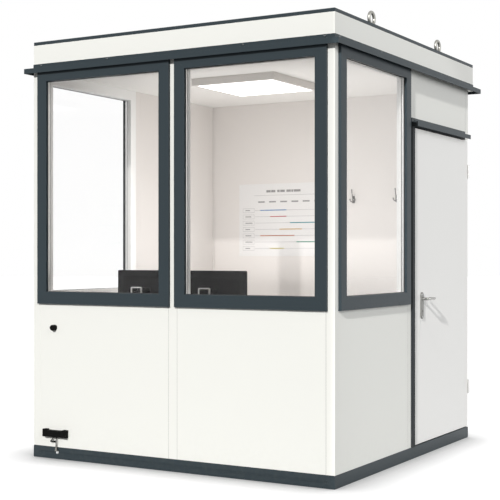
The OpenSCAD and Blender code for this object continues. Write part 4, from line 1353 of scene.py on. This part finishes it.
class CABIN_OT_planner(bpy.types.Operator):
    """Printed lines, labels and bars of the wall planner, and its pins"""
    bl_idname = "cabin.planner"
    bl_label = "Wall Planner"

    def execute(self, context):
        # Row heights and all places on the sheet are parts of its width and height
        rows = [0.106 + i * 0.088 for i in range(7)]
        self.print_bars("planner_lines", "ink_line", self.grid_lines(rows))
        marks = [(x, 0.740, x + 0.064, 0.759) for x in (0.185 + i * 0.106 for i in range(7))]
        marks += [(0.060, z - 0.006, 0.105 + 0.012 * (i * 2 % 3), z + 0.006)
                  for i, z in enumerate(rows)]
        marks += [(x0, 0.880, x1, 0.912) for x0, x1 in (
            (0.264, 0.305), (0.310, 0.350), (0.368, 0.392), (0.397, 0.440), (0.456, 0.497),
            (0.502, 0.520), (0.525, 0.588))]
        self.print_bars("planner_marks", "ink_grey", marks)
        spans = (("yellow", 0.30, 0.43), ("green", 0.55, 0.90), ("rust", 0.205, 0.53),
                 ("amber", 0.39, 0.60), ("teal", 0.49, 0.90), ("red", 0.30, 0.455),
                 ("blue", 0.205, 0.455))
        for z, (ink, x0, x1) in zip(rows, spans):
            self.print_bars("planner_" + ink + "_bar", "ink_" + ink, [(x0, z - 0.006, x1, z + 0.006)])
        self.add_pins()
        return {"FINISHED"}

    def print_bars(self, name, ink, bars):
        """Bars given by two corners on the sheet."""
        low, high = low_high("wall_planner")
        width, height, proud = high.x - low.x, high.z - low.z, 0.0004
        add_bars(name, [((low.x + width * x0, low.y - proud, low.z + height * z0),
                         (low.x + width * x1, low.y + HAIR, low.z + height * z1))
                        for x0, z0, x1, z1 in bars], ink)

    def grid_lines(self, rows):
        """A line through each row and under the heads, and a label box at each row's start."""
        left, right, tall, line, thin = 0.036, 0.148, 0.030, 0.0018, 0.0022
        lines = [(0.155, z - thin, 0.95, z + thin) for z in rows]
        lines.append((0.145, 0.838, 0.95, 0.8425))
        for z in rows:
            lines += [(left, z - tall, right, z - tall + 2 * line),
                      (left, z + tall - 2 * line, right, z + tall),
                      (left, z - tall, left + line, z + tall),
                      (right - line, z - tall, right, z + tall)]
        return lines

    def add_pins(self):
        low, high = low_high("wall_planner")
        inset = 0.014
        pins = bmesh.new()
        for x in (low.x + inset, high.x - inset):
            for z in (low.z + inset, high.z - inset):
                add_turned(pins, [(0.0, 0.0), (0.0045, 0.0), (0.0048, 0.0012), (0.0030, 0.0022),
                                  (0.0026, 0.0060), (0.0042, 0.0072), (0.0044, 0.0090),
                                  (0.0034, 0.0100), (0.0, 0.0102)], facing_front(x, low.y, z), 20)
        new_piece("planner_pins", pins, "bead_coat", round_angle=50.0)


class CABIN_OT_coat_hooks(bpy.types.Operator):
    """Coat hooks: a round-cornered plate with a tall prong and two short ones below"""
    bl_idname = "cabin.coat_hooks"
    bl_label = "Coat Hooks"

    def execute(self, context):
        low, high = low_high("coat_hooks")
        wall, foot, reach = high.y, low.z, 0.0253
        half_w, half_h, thick = 0.010, 0.025, 0.005
        bm = bmesh.new()
        screws = []
        for x in (low.x + reach, high.x - reach):
            add_plate(bm, facing_front(x, wall, foot + half_h),
                      lambda inset: round_outline(half_w - inset, half_h - inset, 0.006),
                      ((0.0, 0.0), (0.0, thick - 0.0014), (0.0012, thick)))
            self.add_prong(bm, Vector((x, wall, foot)), 0, (
                (0.0, 0.004, 0.034), (0.0, 0.012, 0.036), (0.0, 0.019, 0.044),
                (0.0, 0.024, 0.058), (0.0, 0.029, 0.076), (0.0, 0.032, 0.091)), 0.0032, 0.0050)
            for side in (-1, 1):
                self.add_prong(bm, Vector((x, wall, foot)), side, (
                    (0.004, 0.004, 0.012), (0.009, 0.010, 0.008), (0.0145, 0.0145, 0.0105),
                    (0.0185, 0.017, 0.018), (0.0203, 0.0177, 0.0265)), 0.0030, 0.0046)
            screws.append(((x, wall - thick, foot + 0.024), (0, -1, 0)))
        new_piece("coat_hooks_bent", bm, "hook_metal", stands_for=("coat_hooks",), round_angle=55.0)
        add_fasteners("coat_hook_screws", screws, "screw_metal", 0.0034)
        return {"FINISHED"}

    def add_prong(self, bm, start, side, path, radius, knob):
        """Bent round bar from the plate, given as spread, reach and height, with a round knob."""
        points = [start + Vector((side * spread, -out, up)) for spread, out, up in path]
        add_rod(bm, points, radius)
        steps = 10
        ball = [(knob * math.sin(a), -knob * math.cos(a))
                for a in (math.pi * i / steps for i in range(steps + 1))]
        add_turned(bm, ball, Matrix.Translation(points[-1]), 20)


class CABIN_OT_desk(bpy.types.Operator):
    """Screens with their stands, and the worktop's edge band"""
    bl_idname = "cabin.desk"
    bl_label = "Desk"

    def execute(self, context):
        low, high = low_high("screens")
        half_w = 0.220
        shells, faces, stands, necks = (bmesh.new() for _ in range(4))
        vents = []
        slots, pitch, first, half = 14, 0.012, 0.078, 0.0018
        for x in (low.x + half_w, high.x - half_w):
            self.add_screen(shells, faces, x, half_w)
            self.add_stand(stands, necks, x)
            for u in (x - first + i * pitch for i in range(slots)):
                vents.append(((u - half, low.y + 0.0014, high.z - 0.064),
                              (u + half, low.y + 0.0030, high.z - 0.044)))
        new_piece("screen_shells", shells, "screen_plastic", stands_for=("screens",))
        new_piece("screen_faces", faces, "screen_face")
        new_piece("screen_stands_bent", stands, "stand_metal", stands_for=("screen_stands",))
        new_piece("screen_necks", necks, "screen_plastic")
        # Vent slots as black bars: painted shade of the openings
        add_bars("screen_vents", vents, "rubber")
        low, high = low_high("worktop")
        add_bars("worktop_edge_band", [
            ((low.x + 0.002, high.y - 0.0004, low.z + 0.0016),
             (high.x - 0.002, high.y + 0.0006, high.z - 0.0016))], "lamp_coat")
        return {"FINISHED"}

    def add_screen(self, shells, faces, x, half_w):
        """Flat panel with a raised back; the picture side faces the room."""
        low, high = low_high("screens")
        half_h, thick, rim = (high.z - low.z) / 2, high.y - low.y, 0.0102
        back = facing_front(x, high.y, low.z + half_h)

        def outline(inset, radius):
            return round_outline(half_w - inset, half_h - inset, radius)

        add_plate(shells, back, outline, (
            (0.0100, 0.004, 0.0016), (0.0096, 0.004, 0.0004), (0.0016, 0.007, 0.0),
            (0.0, 0.008, 0.0016), (0.0, 0.008, thick - 0.014), (0.0030, 0.007, thick - 0.0115),
            (0.034, 0.012, thick - 0.0095), (0.044, 0.014, thick - 0.0015),
            (0.047, 0.014, thick - 0.0002), (0.050, 0.014, thick)))
        add_plate(faces, back, outline, ((rim, 0.003, 0.0012), (rim, 0.003, 0.0020)))

    def add_stand(self, stands, necks, x):
        """Foot plate, and a flat strip bent to an upturned U behind the screen."""
        desk_z = low_high("worktop")[1].z
        low, high = low_high("screen_stands")
        foot_w, foot_d = 0.110, 0.100
        add_plate(stands, Matrix.Translation((x, low.y + foot_d, desk_z + HAIR)),
                  lambda inset: round_outline(foot_w - inset, foot_d - inset, 0.018),
                  ((0.0008, 0.0), (0.0, 0.0010), (0.0, 0.0062), (0.0020, 0.0080)))
        half, strip, depth, base = 0.040, 0.0062, 0.009, desk_z + 0.0078
        outer = self.arch(((half, base), (half, high.z - 0.006), (half - 0.002, high.z - 0.002),
                           (half - 0.006, high.z)))
        half, top = half - strip, high.z - strip
        inner = self.arch(((half, base), (half, top - 0.003), (half - 0.0012, top - 0.0008),
                           (half - 0.003, top)))
        add_layers(stands, [[(x + u, y, z) for u, z in outer + inner[::-1]]
                            for y in (low.y, low.y + depth)])
        add_block(necks, (x - half + 0.001, low.y + 0.004, high.z - 0.082),
                  (x + half - 0.001, low_high("screens")[0].y + 0.0006, top - 0.001), 0.003, 2)

    def arch(self, side):
        """Both sides of an upturned U from the points of its right side."""
        return [*side, *((-u, z) for u, z in reversed(side))]


class CABIN_OT_room_trim(bpy.types.Operator):
    """Skirting of the room"""
    bl_idname = "cabin.room_trim"
    bl_label = "Room Trim"

    def execute(self, context):
        tall, thick, gap = 0.058, 0.009, 0.011
        start = POST_W + 0.0004 + gap
        ends = {"front": 2 * HALF_W - start, "rear": 2 * HALF_W - start,
                "left": 2 * HALF_D - start,
                "right": low_high("door_post")[1].y + HALF_D - 0.05 - gap}
        bars = [wall_bar(wall, (start, WALL_T + HAIR, BASE_TOP + HAIR),
                         (end, WALL_T + thick, BASE_TOP + tall)) for wall, end in ends.items()]
        add_bars("skirting", bars, "skirting", soften=0.0014)
        return {"FINISHED"}


class CABIN_OT_stage(bpy.types.Operator):
    """Studio: floor, lights, world and camera"""
    bl_idname = "cabin.stage"
    bl_label = "Studio"

    def execute(self, context):
        scene = context.scene
        scene.view_settings.view_transform = "Standard"
        self.lights(self.floor())
        self.world(scene)
        self.camera(scene)
        return {"FINISHED"}

    def floor(self):
        """Bright floor with a painted contact shade of what stands on it."""
        bm = bmesh.new()
        bmesh.ops.create_circle(bm, cap_ends=True, radius=60.0, segments=96)
        floor = add_object("studio_floor", plain_mesh("studio_floor", bm))
        tree, shader = start_material("studio_floor", {
            "Base Color": (0.55, 0.55, 0.55, 1.0), "Roughness": 0.9, "Specular IOR Level": 0.0,
            "Emission Color": (1.0, 1.0, 1.0, 1.0)})
        # Painted contact shade: ambient occlusion dims the glow that the eye sees near what stands on the
        # floor
        contact = add_node(tree, "ShaderNodeAmbientOcclusion", {"Distance": 0.34})
        shadow = math_node(tree, "POWER", contact.outputs["AO"], 1.6)
        glow = times(tree, seen_rays(tree), 0.92)
        feed(tree, shader, {"Emission Strength": times(tree, glow, shadow)})
        floor.data.materials.append(MATERIALS["studio_floor"])
        return floor

    def lights(self, floor):
        """Key and back lights that leave the floor alone, fill lights and the room's soft lights."""
        power = studio()
        toward = Vector((-0.162, 1.0, -0.465)).normalized()
        key = self.sun("key_light", toward, power.sun, power.sun_angle)
        key.data.color = (1.0, 0.985, 0.965)
        self.sun("side_light", Vector((-1.0, 0.03, -0.40)), power.side_fill, math.radians(60))
        wide, tall, distance = 0.55, 3.8, 0.9
        level = toward.cross(Vector((0.0, 0.0, 1.0))).normalized()
        corner = Vector((HALF_W, -HALF_D, ROOF_Z / 2))
        strip = self.panel("side_key", (wide, tall), power.side_key,
                           corner + level * (wide / 2) - toward * distance, toward)
        strip.data.spread = math.radians(5.0)
        strip.data.color = key.data.color
        back = self.sun("back_light", Vector((0.75, -0.66, -0.35)).normalized(), power.back_fill,
                        math.radians(30))
        beads = self.sun("bead_light", Vector((-0.35, 1.0, -0.20)).normalized(), power.bead_fill,
                         math.radians(50))
        for lamp in (back, beads):
            lamp.visible_glossy = lamp.visible_transmission = False
        hood, panes, frames, spacers = (bpy.data.objects[name] for name in (
            "door_hood", "window_panes", "window_beads", "window_spacers"))
        for lamp in (key, strip, back):
            self.link(lamp, "receiver_collection", (floor,), "EXCLUDE")
        for lamp in (key, strip):
            self.link(lamp, "blocker_collection", (hood,), "EXCLUDE")
        self.link(beads, "receiver_collection", (frames, spacers), "INCLUDE")
        self.link(beads, "blocker_collection", (panes,), "EXCLUDE")
        up = Vector((0.0, 0.0, 1.0))
        self.panel("room_light", (1.7, 1.6), power.room_light, Vector((0.0, 0.05, 0.12)), up)
        self.panel("upper_light", (1.6, 1.0), power.upper_light, Vector((0.0, 0.20, 1.0)), up)
        self.panel("window_light", (1.6, 1.0), power.window_light, Vector((0.0, -0.50, 1.50)),
                   Vector((0.0, 1.0, 0.3)).normalized())

    def link(self, lamp, purpose, members, state):
        """Objects that a lamp's light or shadow leaves out, or is kept to."""
        group = bpy.data.collections.new(lamp.name + "_" + purpose)
        for i, member in enumerate(members):
            group.objects.link(member)
            group.collection_objects[i].light_linking.link_state = state
        setattr(lamp.light_linking, purpose, group)

    def sun(self, name, toward, strength, spread):
        away = 8.0
        data = bpy.data.lights.new(name, "SUN")
        data.energy, data.angle = strength, spread
        return self.place_lamp(name, data, -away * toward, toward)

    def panel(self, name, size, power, place, toward):
        """Soft rectangular lamp that is itself never seen."""
        data = bpy.data.lights.new(name, "AREA")
        data.shape = "RECTANGLE"
        data.energy = power
        data.size, data.size_y = size
        lamp = self.place_lamp(name, data, place, toward)
        lamp.visible_camera = lamp.visible_glossy = lamp.visible_transmission = False
        return lamp

    def place_lamp(self, name, data, place, toward):
        lamp = add_object(name, data)
        lamp.rotation_euler = toward.to_track_quat("-Z", "Y").to_euler()
        lamp.location = place
        return lamp

    def world(self, scene):
        """White all round for the eye, and a weak even light for everything else."""
        scene.world = bpy.data.worlds.new("studio_world")
        scene.world.use_nodes = True
        tree = scene.world.node_tree
        dome = studio().dome
        feed(tree, tree.nodes["Background"], {
            "Color": (1.0, 1.0, 1.0, 1.0),
            "Strength": plus(tree, times(tree, seen_rays(tree), 1.0 - dome), dome)})

    def camera(self, scene):
        """Level camera, so that upright edges stay upright, with its lens shifted to the cabin."""
        lens = bpy.data.cameras.new("camera")
        lens.lens = studio().focal
        lens.sensor_width = 36.0
        lens.shift_x, lens.shift_y = -0.0146, 0.010667
        lens.clip_end = 200.0
        scene.camera = add_object("camera", lens)
        scene.camera.location = (3.7122, -6.5283, 1.2300)
        scene.camera.rotation_euler = (math.radians(90.0), 0.0, math.radians(29.844))


class CABIN_PT_panel(bpy.types.Panel):
    """Lists the container's pieces and their values"""
    bl_label = "Office Container"
    bl_idname = "CABIN_PT_panel"
    bl_space_type = "VIEW_3D"
    bl_region_type = "UI"
    bl_category = "Container"

    def draw(self, context):
        layout = self.layout
        for group in (finishes(), details(), studio()):
            box = layout.box()
            for name in group.__annotations__:
                box.prop(group, name)
        for operator in OPERATORS:
            layout.operator(operator.bl_idname)


# In the order in which they run: the lights need the pieces that they are linked to
OPERATORS = (
    CABIN_OT_finishes, CABIN_OT_windows, CABIN_OT_joint_seals, CABIN_OT_roof,
    CABIN_OT_lifting_eyes, CABIN_OT_door_trim, CABIN_OT_hinges, CABIN_OT_handles, CABIN_OT_gland,
    CABIN_OT_bonding, CABIN_OT_base, CABIN_OT_planner, CABIN_OT_coat_hooks, CABIN_OT_desk,
    CABIN_OT_room_trim, CABIN_OT_stage,
)
GROUPS = {"cabin_finishes": CabinFinishes, "cabin_details": CabinDetails, "cabin_studio": CabinStudio}
CLASSES = (*GROUPS.values(), *OPERATORS, CABIN_PT_panel)


def register():
    for cls in CLASSES:
        bpy.utils.register_class(cls)
    for name, group in GROUPS.items():
        setattr(bpy.types.Scene, name, bpy.props.PointerProperty(type=group))


def unregister():
    for name in GROUPS:
        delattr(bpy.types.Scene, name)
    for cls in reversed(CLASSES):
        bpy.utils.unregister_class(cls)


def main():
    register()
    for operator in OPERATORS:
        group, name = operator.bl_idname.split(".")
        getattr(getattr(bpy.ops, group), name)()


if __name__ == "__main__":
    main()
